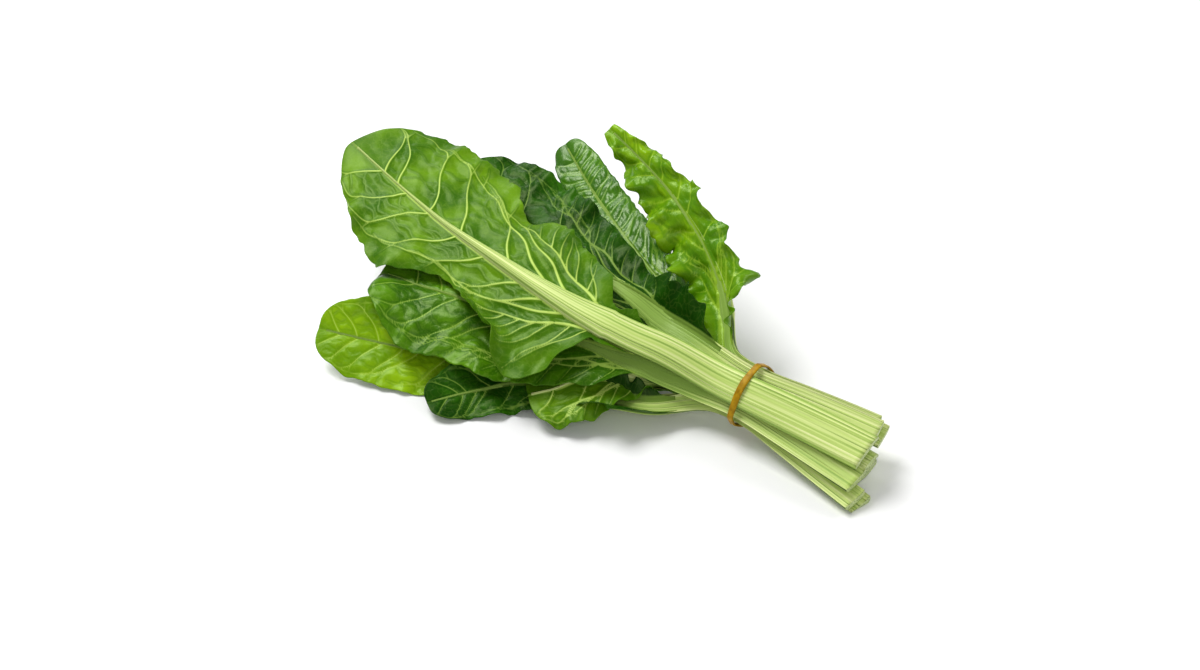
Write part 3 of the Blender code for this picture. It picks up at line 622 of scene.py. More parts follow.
def fine_sheet(leaf, look, line, at, lift, fine_at, out):
    """Fine points of the blade's middle surface, and their flat places along and out."""
    centre, far, up = line.read(fine_at)
    sides, flats = [], []
    for side, sign in (("near", -1), ("far", 1)):
        half = blade_half_width(leaf, line, fine_at, side) * uneven(leaf, look, line, fine_at, side)
        half = half * (look.broad if side == "near" else 1)
        inner = 0.86 * stalk_half_width(leaf, line, fine_at)
        share = smooth_step(0, BASE_TAPER, (fine_at - line.blade_start) / leaf.blade_length)
        half = inner + (half - inner) * share
        past = line.blade_start - fine_at
        tail = look.tail_width[side] * (1 - smooth_step(0.3, 1.0, past / max(look.tail_length, 1e-6)))
        tail = tail * smooth_step(-0.45, -0.10, past / leaf.blade_length)
        half = np.maximum(half, inner + tail * uneven(leaf, look, line, fine_at, side, True))
        slope = TAIL_RISE * smooth_step(-0.12, 0.02, past / leaf.blade_length)
        rib = stalk_half_width(leaf, line, fine_at)
        rows = []
        for i, distance in enumerate(fine_at):
            t = np.clip((distance - line.blade_start) / leaf.blade_length, 0, 1)
            across, height = half_profile(leaf, side, t, out)
            height = height * half[i] + slope[i] * np.maximum(out * half[i] - rib[i], 0)
            rows.append(centre[i] + sign * half[i] * across[:, None] * far[i]
                        + height[:, None] * up[i])
        sides.append(np.array(rows))
        flats.append(sign * half[:, None] * out)
    points = np.concatenate([sides[0][:, :0:-1], sides[1]], axis=1)
    points[..., 2] += fine_lift(leaf, line, at, lift, fine_at, out)
    return points, np.concatenate([flats[0][:, :0:-1], flats[1]], axis=1)


class Run:
    """A vein: flat points along and out from the midrib, with a width and a strength at each."""

    def __init__(self, points, width, strength):
        self.points = np.array(points)
        share = np.linspace(0, 1, len(points))
        self.width = width[0] + (width[1] - width[0]) * share
        self.strength = strength[0] + (strength[1] - strength[0]) * share


def walk(start, heading_at, stop_at, half_at):
    """Points from start, each a step further at the heading for its place."""
    points = [start]
    gone = 0.0
    while True:
        u, v = points[-1]
        share = v / max(half_at(u), 1e-4)
        if stop_at(gone, u, share):
            return points
        heading = heading_at(gone, share)
        points.append((u + VEIN_STEP * math.cos(heading), v + VEIN_STEP * math.sin(heading)))
        gone += VEIN_STEP


def cross_veins(mains, draw):
    """Faint bowed veins from each side vein to the next."""
    runs = []
    for first, second in zip(mains, mains[1:]):
        for share in np.arange(0.22, 0.95, 0.24) + draw.uniform(-0.07, 0.07):
            if min(len(first), len(second)) < 14:
                continue
            a = np.array(first[int(min(share, 1) * (len(first) - 1))])
            b = np.array(second[int(min(share + draw.uniform(-0.1, 0.1), 1) * (len(second) - 1))])
            along = np.linspace(0, 1, 2 + int(np.linalg.norm(b - a) / VEIN_STEP))[:, None]
            side_step = np.array([-(b - a)[1], (b - a)[0]])
            bow = draw.uniform(-0.25, 0.25) * np.sin(along * math.pi)
            bow = bow + 0.05 * np.sin(along * 3 * math.pi + draw.uniform(0, 6))
            points = a + (b - a) * along + side_step * bow
            runs.append(Run(points, CROSS_VEIN_WIDTH, (0.16, 0.16)))
    return runs


def half_veins(leaf, look, line, side, draw):
    """The side veins of one half blade, their forks and loops, and the faint veins between."""
    length = leaf.blade_length
    table = np.linspace(0, length, 200)
    widths = blade_half_width(leaf, line, table + line.blade_start, side)
    ribs = stalk_half_width(leaf, line, table + line.blade_start)

    def half_at(u):
        return float(np.interp(u, table, widths))

    def ends(u):
        return u > length * VEIN_END

    runs, mains = [], []
    start = length * VEIN_SPAN[0]
    while start < length * VEIN_SPAN[1]:
        spot = start + draw.uniform(-0.18, 0.18) * look.gap
        slant = math.radians(look.slant * (0.42 + 0.58 * float(smooth_step(0, 0.5, spot / length)))
                             + draw.uniform(-6, 6))
        fork = draw.uniform(0.58, 0.72)
        sway = draw.uniform(0.10, 0.26)
        phase = draw.uniform(0, 2 * math.pi)
        bend = draw.uniform(0.15, 0.45)

        def heading(gone, share):
            return slant - bend * share + sway * math.sin(gone / SWAY_LENGTH + phase)

        main = walk((spot, 0.6 * float(np.interp(spot, table, ribs))), heading,
                    lambda gone, u, share: share > fork or ends(u) or gone > LONGEST_VEIN,
                    half_at)
        width = VEIN_WIDTH[0] + BASE_VEIN_WIDTH * (1 - spot / length) ** 3
        runs.append(Run(main, (width, VEIN_WIDTH[1]), (1.0, 0.70)))
        mains.append(main)
        reach = look.gap * draw.uniform(1.0, 1.5)
        lane = draw.uniform(0.76, 0.86)
        turn = draw.uniform(2.0, 3.2)

        def loop_heading(gone, share):
            wanted = turn * (lane - share) + 0.15 * math.sin(gone / 0.003 + phase)
            blend = math.exp(-gone / 0.006)
            return (slant - bend * fork) * blend + wanted * (1 - blend)

        loop = walk(main[-1], loop_heading,
                    lambda gone, u, share: gone > reach or share > 0.97 or ends(u), half_at)
        runs.append(Run(loop, THIN_VEIN_WIDTH, (0.75, 0.3)))
        outer = walk(main[-1], lambda gone, share: slant + 0.25 + sway * math.sin(gone / 0.004),
                     lambda gone, u, share: share > 0.92 or ends(u) or gone > LONGEST_OUTER,
                     half_at)
        runs.append(Run(outer, OUTER_VEIN_WIDTH, (0.55, 0.15)))
        crowd = 0.55 + 0.45 * float(smooth_step(0, 0.25, start / length))
        start += look.gap * crowd * draw.uniform(0.75, 1.25) * (1 - 0.40 * start / length)
    for k in range(14, len(mains[0]) - 8, BRANCH_GAP):
        lean = draw.uniform(0.85, 1.15)
        branch = walk(mains[0][k], lambda gone, share: lean + 0.2 * math.sin(gone / 0.006 + k),
                      lambda gone, u, share: share > 0.93 or gone > LONGEST_BRANCH, half_at)
        runs.append(Run(branch, (VEIN_WIDTH[0], THIN_VEIN_WIDTH[1]), (0.85, 0.3)))
    return [run for run in runs + cross_veins(mains, draw) if len(run.points) > 2]


def near_veins(runs, u, v):
    """Distance to the nearest vein, how white it makes each place, and which side it is on."""
    points = np.concatenate([run.points for run in runs])
    width = np.concatenate([run.width for run in runs])
    strength = np.concatenate([run.strength for run in runs])
    heading = np.concatenate([np.gradient(run.points, axis=0) for run in runs])
    heading = heading / np.maximum(np.linalg.norm(heading, axis=1, keepdims=True), 1e-9)
    tree = kdtree.KDTree(len(points))
    for i, (a, b) in enumerate(points):
        tree.insert((a, b, 0), i)
    tree.balance()
    nearest = np.empty(u.size, dtype=int)
    gap = np.empty(u.size)
    for k, (a, b) in enumerate(zip(u.ravel(), v.ravel())):
        _, nearest[k], gap[k] = tree.find((a, b, 0))
    away = np.stack([u.ravel(), v.ravel()], axis=1) - points[nearest]
    aside = heading[nearest, 0] * away[:, 1] - heading[nearest, 1] * away[:, 0]
    white = strength[nearest] * np.exp(-(gap / width[nearest] / 1.6) ** 2)
    return [field.reshape(u.shape) for field in (gap, white, aside / width[nearest])]


def vein_fields(leaf, look, line, u, v):
    """For each place on the blade: distance to a vein, its whiteness and height, and the side."""
    draw = np.random.default_rng(look.seed)
    distance, white, mark, aside = (np.empty(u.shape) for _ in range(4))
    middle = u.shape[1] // 2
    for side, part, sign in (("near", slice(0, middle + 1), -1), ("far", slice(middle, None), 1)):
        runs = half_veins(leaf, look, line, side, draw)
        strong = [run for run in runs if run.strength[0] > 0.5]
        faint = [run for run in runs if run.strength[0] <= 0.5]
        d1, w1, s1 = near_veins(strong, u[:, part], sign * v[:, part])
        d2, w2, s2 = near_veins(faint or strong, u[:, part], sign * v[:, part])
        distance[:, part] = np.minimum(d1, d2 + 0.0008)
        white[:, part] = np.maximum(w1, w2)
        mark[:, part] = np.maximum(w1, 0.6 * w2)
        aside[:, part] = np.where(w1 >= w2, s1, s2)
    return distance, white, mark, aside


def smooth_mesh(name, points, faces, materials, indices, attributes):
    """A smooth mesh object with a material index for each face and values for each point."""
    mesh = bpy.data.meshes.new(name)
    mesh.from_pydata(points.tolist(), [], faces)
    for material in materials:
        mesh.materials.append(material)
    mesh.polygons.foreach_set("material_index", indices)
    for key, values in attributes.items():
        values = np.asarray(values, dtype=np.float32)
        if values.ndim == 1:
            layer = mesh.attributes.new(key, "FLOAT", "POINT")
            layer.data.foreach_set("value", values)
        else:
            layer = mesh.attributes.new(key, "FLOAT_VECTOR", "POINT")
            layer.data.foreach_set("vector", values.ravel())
    mesh.shade_smooth()
    made = bpy.data.objects.new(name, mesh)
    bpy.context.scene.collection.objects.link(made)
    return made


def grid_quads(rows, columns, start=0, flip=False):
    """Faces of a grid of points."""
    i, j = np.meshgrid(np.arange(rows - 1), np.arange(columns - 1), indexing="ij")
    a = (start + i * columns + j).ravel()
    quads = np.stack([a, a + 1, a + columns + 1, a + columns], axis=1)
    return quads[:, ::-1] if flip else quads


def grid_normals(points):
    """Unit normals of a grid of points."""
    return unit(np.cross(np.gradient(points, axis=1), np.gradient(points, axis=0)))


def rim_quads(rows, columns, other):
    """Faces that join the borders of two like grids."""
    ring = np.concatenate([
        np.arange(columns), np.arange(1, rows) * columns + columns - 1,
        (rows - 1) * columns + np.arange(columns - 2, -1, -1), np.arange(rows - 2, 0, -1) * columns,
    ])
    after = np.roll(ring, -1)
    return np.stack([ring, ring + other, after + other, after], axis=1)


def blade_relief(leaf, look, line, fine_at, u, v):
    """How far the sheet's face is pushed out at each place, and the sheet's painted fields."""
    distance, white, mark, aside = vein_fields(leaf, look, line, u, v)
    t = u / leaf.blade_length
    rib = stalk_half_width(leaf, line, fine_at)[:, None] * (1 - np.clip(t, 0, 0.97)) ** SLIM
    off_rib = np.abs(v) - rib
    distance = np.minimum(distance, np.maximum(off_rib, 0))
    half = np.maximum(np.abs(v[:, [0]]) * (v < 0) + np.abs(v[:, [-1]]) * (v >= 0), 1e-5)
    margin = np.abs(v) / half
    draw = np.random.default_rng(look.seed + 100)
    clear = smooth_step(0, CLEAR_RIB, off_rib)
    free = np.maximum(smooth_step(0.01, 0.08, t), clear) * (1 - 0.8 * smooth_step(0.9, 1.0, t))
    push = look.quilt * (1 - np.exp(-(distance / QUILT_EDGE) ** 2)) * (1 - 0.5 * margin ** 4)
    push -= look.ridge * mark * (1 - 0.5 * margin)
    push += look.wrinkle * ripples(draw, WRINKLE_LENGTHS[0], u, v) * clear
    push += 0.30 * look.wrinkle * ripples(draw, WRINKLE_LENGTHS[1], u, v) * clear
    height, spacing = look.crinkle
    push += height * margin ** 3 * ripples(draw, spacing, u, 0.3 * v)
    push *= free
    cover, covered_from = look.cover
    opening = STALK_FILL - (0 if leaf.back_up else cover * smooth_step(-0.02, covered_from, t))
    inside = np.clip(1 - (v / (rib * opening)) ** 2, 0, 1)
    groove = CHANNEL * rib * (1 - smooth_step(0, 0.3, t))
    behind = (BLADE_THICKNESS / 2 + PART_GAP) * (1 - smooth_step(-0.06, 0.02, t))
    sunk = smooth_step(0, 0.35, inside)
    push -= (SINK + groove * inside + behind) * sunk
    if not leaf.back_up:
        push += COVER_RISE * (1 - sunk) * (off_rib < 0) * smooth_step(0, 0.1, t)
    beside = np.maximum(np.abs(v) - rib * opening, 0)
    pale = np.exp(-(beside / PALE_EDGE) ** 2) * (1 - smooth_step(0.6, 1.0, t) * 0.7)
    painted = {
        "vein": np.maximum(white, pale).ravel(),
        "aside": np.where(pale > white, 0, aside).ravel(),
        "flat": np.stack([u + look.seed * 0.37, v, np.zeros_like(u)], axis=-1).reshape(-1, 3),
        "base": t.ravel(),
    }
    return push, margin, painted


def blade_piece(leaf, line, at, lift, origin, materials):
    """The blade as a thin crinkled sheet with veins, closed round its margin."""
    look = LOOKS[leaf.name]
    cell = look.cell * 1
    rows = int((leaf.blade_length + look.tail_length) / cell)
    columns = int(leaf.blade_width / 2 / cell)
    share = 1 - (1 - np.linspace(0, 1, rows)) ** 1.25
    fine_at = line.blade_start - look.tail_length
    fine_at = fine_at + share * (line.length - fine_at - TIP_GAP * leaf.blade_length)
    points, v = fine_sheet(leaf, look, line, at, lift, fine_at, np.linspace(0, 1, columns))
    u = np.repeat((fine_at - line.blade_start)[:, None], v.shape[1], axis=1)
    push, margin, painted = blade_relief(leaf, look, line, fine_at, u, v)
    face_up = -1 if leaf.back_up else 1
    points = points + grid_normals(points) * (push * face_up)[..., None]
    thin = grid_normals(points) * SKIN / 2 * (1 - 0.6 * margin ** 6)[..., None]
    upper, lower = points + thin, points - thin
    sunk = np.maximum(BLADE_ABOVE_TABLE - lower[..., 2], 0)
    upper[..., 2] += sunk
    lower[..., 2] += sunk
    top = grid_quads(*u.shape)
    rim = rim_quads(*u.shape, u.size)
    faces = np.concatenate([top, grid_quads(*u.shape, start=u.size, flip=True), rim])
    indices = np.repeat(np.array([0, 1, 0], dtype=np.int32), [len(top), len(top), len(rim)])
    if leaf.back_up:
        indices = 1 - indices
    both = np.concatenate([upper.reshape(-1, 3), lower.reshape(-1, 3)]) + origin
    painted = {key: np.concatenate([values, values]) for key, values in painted.items()}
    piece = smooth_mesh(leaf.name.replace("leaf_", "") + "_green", both, faces.tolist(), materials,
                        indices, painted)
    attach(piece, "root")
    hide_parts(leaf.name + "_blade")


def stalk_ring(half, depth, phases, groove, seat, bare):
    """Across and out places round a stalk, channelled in front and ribbed behind, and its rib marks, with
    painted shade on the bare stalk's flanks.
    """
    turn = round_turns(STALK_SIDES)
    across, away = np.cos(turn), np.sin(turn)
    wide = np.sign(across) * np.abs(across) ** 0.7
    drop = np.abs(away) ** 0.5
    ribs = 0.6 * np.cos(RIBS[0] * math.pi * wide + phases[0])
    ribs += 0.4 * np.cos(RIBS[1] * math.pi * wide + phases[1])
    out = np.where(away > 0, depth * drop + RIB_HEIGHT * ribs * drop,
                   -seat * drop + groove * drop ** 2 - 0.4 * RIB_HEIGHT * ribs * drop)
    # painted shade: the flanks of the bare stalk, where it lies against the next stalk, are marked darker
    flank_shade = 3.0 * bare * np.clip(1 - away / 0.55, 0, 1)
    ribs = np.where(away > 0, ribs - flank_shade, 1.3 * np.abs(wide) ** 4 - 0.5 + 0.3 * ribs)
    return half * wide, out, ribs


def stalk_rings(leaf, line, at, lift, fine_at):
    """Rings of points round the stalk and midrib, and the ribs' marks on them, with painted shade on the bare
    flanks.
    """
    centre, far, up = line.read(fine_at)
    centre = centre.copy()
    centre[:, 2] += natural_spline(at, lift[:, SIDE_COLUMNS][:, None], fine_at)[:, 0]
    back = 1 if leaf.back_up else -1
    half = (stalk_half_width(leaf, line, fine_at) + PART_GAP) * STALK_FILL
    depth = stalk_depth(leaf, line, fine_at)
    t = (fine_at - line.blade_start) / leaf.blade_length
    half = np.maximum(half * (1 - np.clip(t, 0, 1)) ** SLIM, TIP_HALF_WIDTH)
    onto = smooth_step(-0.06, 0.02, t)
    skin = BLADE_THICKNESS / 2 + PART_GAP
    seat = SEAT * (0.2 + 0.8 * onto)
    face = skin * (1 - onto) - FACE_DROP * onto
    groove = CHANNEL * half * (1 - smooth_step(0, 0.3, t))
    phases = waves_of(leaf)[:2]
    rings, marks = [], []
    for i in range(len(fine_at)):
        across, outward, ribs = stalk_ring(half[i], depth[i] + skin - face[i], phases, groove[i],
                                           seat[i], 1 - onto[i])
        rings.append(centre[i] + across[:, None] * far[i]
                     + (face[i] + outward)[:, None] * up[i] * back)
        marks.append(ribs)
    rings = np.array(rings)
    rings[..., 2] = np.maximum(rings[..., 2], STALK_ABOVE_TABLE)
    return rings, np.array(marks)


def stalk_piece(leaf, line, at, lift, origin, materials):
    """The stalk and midrib, from its cut end to the tip of the leaf."""
    last = line.blade_start + MIDRIB_REACH * leaf.blade_length
    rows, sides = int(last / STALK_CELL), STALK_SIDES
    fine_at = np.linspace(0, last, rows)
    rings, marks = stalk_rings(leaf, line, at, lift, fine_at)
    i, j = np.meshgrid(np.arange(rows - 1), np.arange(sides), indexing="ij")
    a = (i * sides + j).ravel()
    b = (i * sides + (j + 1) % sides).ravel()
    quads = [np.stack([a, b, b + sides, a + sides], axis=1)]
    cut_middle = rings[0].mean(axis=0)
    count = rows * sides
    inner = np.arange(sides)
    points = [rings.reshape(-1, 3)]
    for shrink in CUT_RINGS:
        points.append(cut_middle + (rings[0] - cut_middle) * shrink)
        outer, inner = inner, count + np.arange(sides)
        quads.append(np.stack([outer, inner, np.roll(inner, -1), np.roll(outer, -1)], 1))
        count += sides
    points += [cut_middle[None], rings[-1].mean(axis=0)[None]]
    fan = np.stack([inner, np.full(sides, count), np.roll(inner, -1)], 1)
    tip = (rows - 1) * sides + np.arange(sides)
    tip_fan = np.stack([tip, np.roll(tip, -1), np.full(sides, count + 1)], 1)
    faces = np.concatenate(quads).tolist() + fan.tolist() + tip_fan.tolist()
    if not leaf.back_up:
        faces = [face[::-1] for face in faces]
    indices = np.zeros(len(faces), dtype=np.int32)
    indices[len(a):len(a) + 3 * sides] = 1
    turn = round_turns(sides)
    spread = leaf.stalk[1] / 2 * np.cos(turn) + 0.04 * np.sign(np.sin(turn))
    u = np.concatenate([np.repeat(fine_at, sides), np.zeros(2 * sides + 1), [last]])
    v = np.concatenate([np.tile(spread, rows + 2), np.zeros(2)])
    facing_in = np.concatenate([np.tile(np.sin(turn) < 0.05, rows), np.zeros(2 * sides + 2, dtype=bool)])
    shift = sum(ord(letter) for letter in leaf.name) * 0.013
    # own: each stalk's own tone, plus painted shade on the upper side of face-up leaves' stalks where they
    # run in under the blade
    near_blade = smooth_step(-0.35, -0.04, (u - line.blade_start) / leaf.blade_length)
    painted = {
        "grain": np.stack([u + shift, v, np.zeros_like(u)], axis=1),
        # rib: the ribs' marks, with the painted shade of the bare stalk's flanks
        "rib": 0.5 + 0.5 * np.concatenate([marks.ravel(), np.zeros(2 * sides + 2)]),
        "own": (shift * 7.3) % 1.0 + (0 if leaf.back_up else 2.2) * near_blade * facing_in,
        "fine": np.clip((u - line.blade_start) / leaf.blade_length, 0, 1),
    }
    piece = smooth_mesh(leaf.name.replace("leaf_", "") + "_stem", np.concatenate(points) + origin,
                        faces, materials, indices, painted)
    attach(piece, "root")
    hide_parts(leaf.name + "_stalk")


def band_outline(laid):
    """The tied stalks' outer points at the band, across and up from the tie's middle."""
    across = []
    for leaf, line, at, _ in laid:
        near = line.band + np.array([-BAND_REACH, BAND_REACH])
        rows = leaf_surface(leaf, line, near)
        centre, far, up = line.read(near)
        back = 1 if leaf.back_up else -1
        half = stalk_half_width(leaf, line, near)[:, None]
        depth = stalk_depth(leaf, line, near)[:, None]
        skin = BLADE_THICKNESS / 2 + PART_GAP
        across += [rows[:, 0], rows[:, -1]]
        for share, drop in ROUND_BACK:
            for sign in (-1, 1):
                across.append(centre + far * half * share * sign + up * back * (skin + depth * drop))
    return np.concatenate(across)[:, 1:] - TIE_CENTRE


def band_radius(laid, around):
    """How far the band's inside is from the tie's middle in each direction."""
    turns = round_turns(4 * BAND_SIDES)
    facing = np.stack([np.cos(turns), np.sin(turns)], axis=1)
    support = (band_outline(laid) @ facing.T).max(axis=0) + BAND_GAP
    lean = np.cos(around[:, None] - turns[None, :])
    return np.where(lean > 0.05, support[None, :] / np.maximum(lean, 0.05), 1.0).min(axis=1)


def tie_place(laid):
    """Where the source's own origin lies in the frame, found from the band's box."""
    low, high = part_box("rubber_band")
    around = round_turns(BAND_SIDES)
    reach = band_radius(laid, around) / math.cos(math.pi / BAND_SIDES) + BAND_THICKNESS
    y = TIE_CENTRE[0] + reach * np.cos(around)
    return np.array([(low[0] + high[0]) / 2, (low[1] + high[1]) / 2 - (y.min() + y.max()) / 2, 0])


def band_piece(laid, origin, material):
    """The rubber band: a rounded strap, a little twisted and uneven."""
    around = round_turns(BAND_STEPS)
    radius = band_radius(laid, around)
    radius = np.mean([np.roll(radius, k) for k in range(-3, 4)], axis=0) + 0.0002
    corner = round_turns(BAND_CORNERS)
    wide = np.sign(np.cos(corner)) * np.abs(np.cos(corner)) ** 0.45
    thick = np.sign(np.sin(corner)) * np.abs(np.sin(corner)) ** 0.55
    lip = 0.12 * np.cos(2 * math.pi * wide) * (np.sin(corner) > 0)
    points = []
    for k, turn in enumerate(around):
        width = BAND_WIDTH / 2 * (1 + 0.06 * math.sin(3 * turn + 1) + 0.03 * math.sin(7 * turn))
        stray = 0.0006 * math.sin(turn + 0.6) + 0.0003 * math.sin(3 * turn)
        reach = radius[k] + BAND_THICKNESS / 2 * (1 + thick - lip)
        points.append(np.stack([stray + width * wide, TIE_CENTRE[0] + reach * math.cos(turn),
                                TIE_CENTRE[1] + reach * math.sin(turn)], axis=1))
    points = np.concatenate(points) + origin
    i, j = np.meshgrid(np.arange(BAND_STEPS), np.arange(BAND_CORNERS), indexing="ij")
    a, b = i * BAND_CORNERS + j, i * BAND_CORNERS + (j + 1) % BAND_CORNERS
    c, d = (a + BAND_CORNERS) % len(points), (b + BAND_CORNERS) % len(points)
    faces = np.stack([a.ravel(), c.ravel(), d.ravel(), b.ravel()], axis=1)
    piece = smooth_mesh("tie_band", points, faces.tolist(), [material],
                        np.zeros(len(faces), dtype=np.int32), {})
    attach(piece, "root")
    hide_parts("rubber_band")


class Nodes:
    """A material's node tree, with short calls to add and join nodes."""

    def __init__(self, name, roughness, **settings):
        self.material = bpy.data.materials.new(name)
        self.material.use_nodes = True
        self.tree = self.material.node_tree
        self.shader = self.tree.nodes["Principled BSDF"]
        self.shader.inputs["Roughness"].default_value = roughness
        for key, value in settings.items():
            self.shader.inputs[key.replace("_", " ")].default_value = value

    def add(self, kind, **settings):
        node = self.tree.nodes.new("ShaderNode" + kind)
        for key, value in settings.items():
            if key in node.inputs:
                node.inputs[key].default_value = value
            else:
                setattr(node, key, value)
        return node

    def join(self, output, socket):
        self.tree.links.new(output, socket)

    def attribute(self, name):
        return self.add("Attribute", attribute_name=name)

    def noise(self, vector, scale, detail=3.0, stretch=None):
        if stretch:
            mapping = self.add("Mapping")
            mapping.inputs["Scale"].default_value = stretch
            self.join(vector, mapping.inputs["Vector"])
            vector = mapping.outputs["Vector"]
        node = self.add("TexNoise", Scale=scale, Detail=detail)
        self.join(vector, node.inputs["Vector"])
        return node.outputs["Fac"]

    def warp(self, vector, scale, amount):
        """The vector moved about a little by noise."""
        node = self.add("TexNoise", Scale=scale, Detail=1.0)
        self.join(vector, node.inputs["Vector"])
        move = self.add("VectorMath", operation="SCALE")
        self.join(node.outputs["Color"], move.inputs[0])
        move.inputs["Scale"].default_value = amount
        total = self.add("VectorMath", operation="ADD")
        self.join(vector, total.inputs[0])
        self.join(move.outputs[0], total.inputs[1])
        return total.outputs[0]

    def ramp(self, value, *stops):
        node = self.add("ValToRGB")
        elements = node.color_ramp.elements
        while len(elements) < len(stops):
            elements.new(0.5)
        for element, (place, colour) in zip(elements, stops):
            element.position = place
            element.color = (*colour, 1)
        self.join(value, node.inputs["Fac"])
        return node.outputs["Color"]

    def fade(self, value, *stops):
        """A ramp of plain levels."""
        return self.ramp(value, *((place, (level, level, level)) for place, level in stops))

    def mix(self, share, first, second):
        node = self.add("Mix", data_type="RGBA")
        for value, socket in ((share, 0), (first, 6), (second, 7)):
            if isinstance(value, (int, float)):
                node.inputs[socket].default_value = value
            elif isinstance(value, tuple):
                node.inputs[socket].default_value = (*value, 1)
            else:
                self.join(value, node.inputs[socket])
        return node.outputs[2]

    def sum(self, operation, first, second):
        node = self.add("Math", operation=operation)
        for value, socket in ((first, 0), (second, 1)):
            if isinstance(value, (int, float)):
                node.inputs[socket].default_value = value
            else:
                self.join(value, node.inputs[socket])
        return node.outputs[0]

    def bump(self, height, distance, strength=1.0):
        node = self.add("Bump", Strength=strength, Distance=distance)
        self.join(height, node.inputs["Height"])
        self.join(node.outputs["Normal"], self.shader.inputs["Normal"])


# Colours
VEIN = (0.44, 0.60, 0.115)
TONES = {  # darker and lighter colours of the face, then of the back
    "dark": ((0.003, 0.030, 0.001), (0.022, 0.105, 0.002),
             (0.020, 0.090, 0.002), (0.060, 0.180, 0.004)),
    "mid": ((0.014, 0.078, 0.001), (0.092, 0.245, 0.003), (0.026, 0.110, 0.001), (0.120, 0.265, 0.003)),
    "light": ((0.105, 0.250, 0.001), (0.270, 0.480, 0.004), (0.100, 0.250, 0.001), (0.230, 0.420, 0.004)),
    "ribbed": ((0.020, 0.100, 0.001), (0.070, 0.215, 0.003), (0.035, 0.130, 0.002), (0.090, 0.240, 0.005)),
    "frilled": ((0.055, 0.190, 0.001), (0.210, 0.400, 0.002), (0.085, 0.230, 0.001), (0.190, 0.370, 0.004)),
}
VEIN_SHARE = {"ribbed": 0.22, "frilled": 0.20, "dark": 0.34}  # how pale the veins of the face are
VEIN_SHARE_ELSE = 0.50
GLOSS = {"ribbed": 0.42, "frilled": 0.32, "dark": 0.13}
GLOSS_ELSE = 0.24
PALE_STALK = ((0.24, 0.39, 0.065), (0.50, 0.64, 0.165), (0.86, 0.91, 0.42))
STALK_PATCH = (0.32, 0.50, 0.085)
STALK_LINE = (0.135, 0.240, 0.030)
# painted shade of the stalks' flanks where they lie against each other
STALK_FLANK_SHADE = (0.050, 0.110, 0.012)
CUT_COLOURS = ((0.26, 0.40, 0.09), (0.60, 0.70, 0.30))
BAND_COLOURS = ((0.22, 0.110, 0.002), (0.47, 0.268, 0.006))
FLOOR_WHITE = 0.93


def leaf_material(tone, back):
    """The blade's skin: blotched green with pale veins and painted shade beside them, glossy on its face."""
    dark, light = TONES[tone][2:] if back else TONES[tone][:2]
    tint = (0.90, 1.0, 0.72, 1) if tone == "ribbed" else (0.78, 1.0, 0.40, 1)
    nodes = Nodes(f"leaf_{tone}_{'back' if back else 'face'}", 0.34 if back else 0.26,
                  Specular_IOR_Level=GLOSS.get(tone, GLOSS_ELSE), Specular_Tint=tint)
    flat = nodes.attribute("flat").outputs["Vector"]
    vein = nodes.attribute("vein").outputs["Fac"]
    blotch = nodes.noise(flat, 34.0, 4.0)
    colour = nodes.ramp(blotch, (0.36, dark), (0.64, light))
    speck = nodes.noise(flat, 420.0, 2.0)
    colour = nodes.mix(nodes.sum("MULTIPLY", speck, 0.22), colour, light)
    shade = nodes.fade(nodes.attribute("base").outputs["Fac"], (0.0, 0.55), (0.5, 0.0))
    colour = nodes.mix(shade, colour, dark)
    net = nodes.add("TexVoronoi", Scale=240.0, feature="DISTANCE_TO_EDGE")
    nodes.join(nodes.warp(flat, 300.0, 0.004), net.inputs["Vector"])
    thread = nodes.fade(net.outputs["Distance"], (0.0, 0.12), (0.09, 0.0))
    share = VEIN_SHARE.get(tone, VEIN_SHARE_ELSE)
    pale = tuple((1 - share) * a + share * b for a, b in zip(light, VEIN))
    colour = nodes.mix(thread, colour, pale)
    # painted shade in the creases beside the veins, where the quilted blade dips
    crease_shade = nodes.fade(vein, (0.0, 0.0), (0.05, 0.50), (0.45, 0.0))
    colour = nodes.mix(crease_shade, colour, dark)
    aside = nodes.sum("ABSOLUTE", nodes.attribute("aside").outputs["Fac"], 0.0)
    core = nodes.fade(aside, (0.45, 1.0), (0.95, 0.0))
    shown = nodes.fade(vein, (0.10, 0.0), (0.80, 1.0))
    colour = nodes.mix(nodes.sum("MULTIPLY", core, shown), colour, VEIN if back else pale)
    nodes.join(colour, nodes.shader.inputs["Base Color"])
    pores = nodes.noise(flat, 900.0, 3.0)
    height = nodes.sum("ADD", nodes.sum("MULTIPLY", pores, 0.4), nodes.sum("MULTIPLY", thread, -1.6))
    nodes.bump(height, 0.0004, 0.5)
    return nodes.material


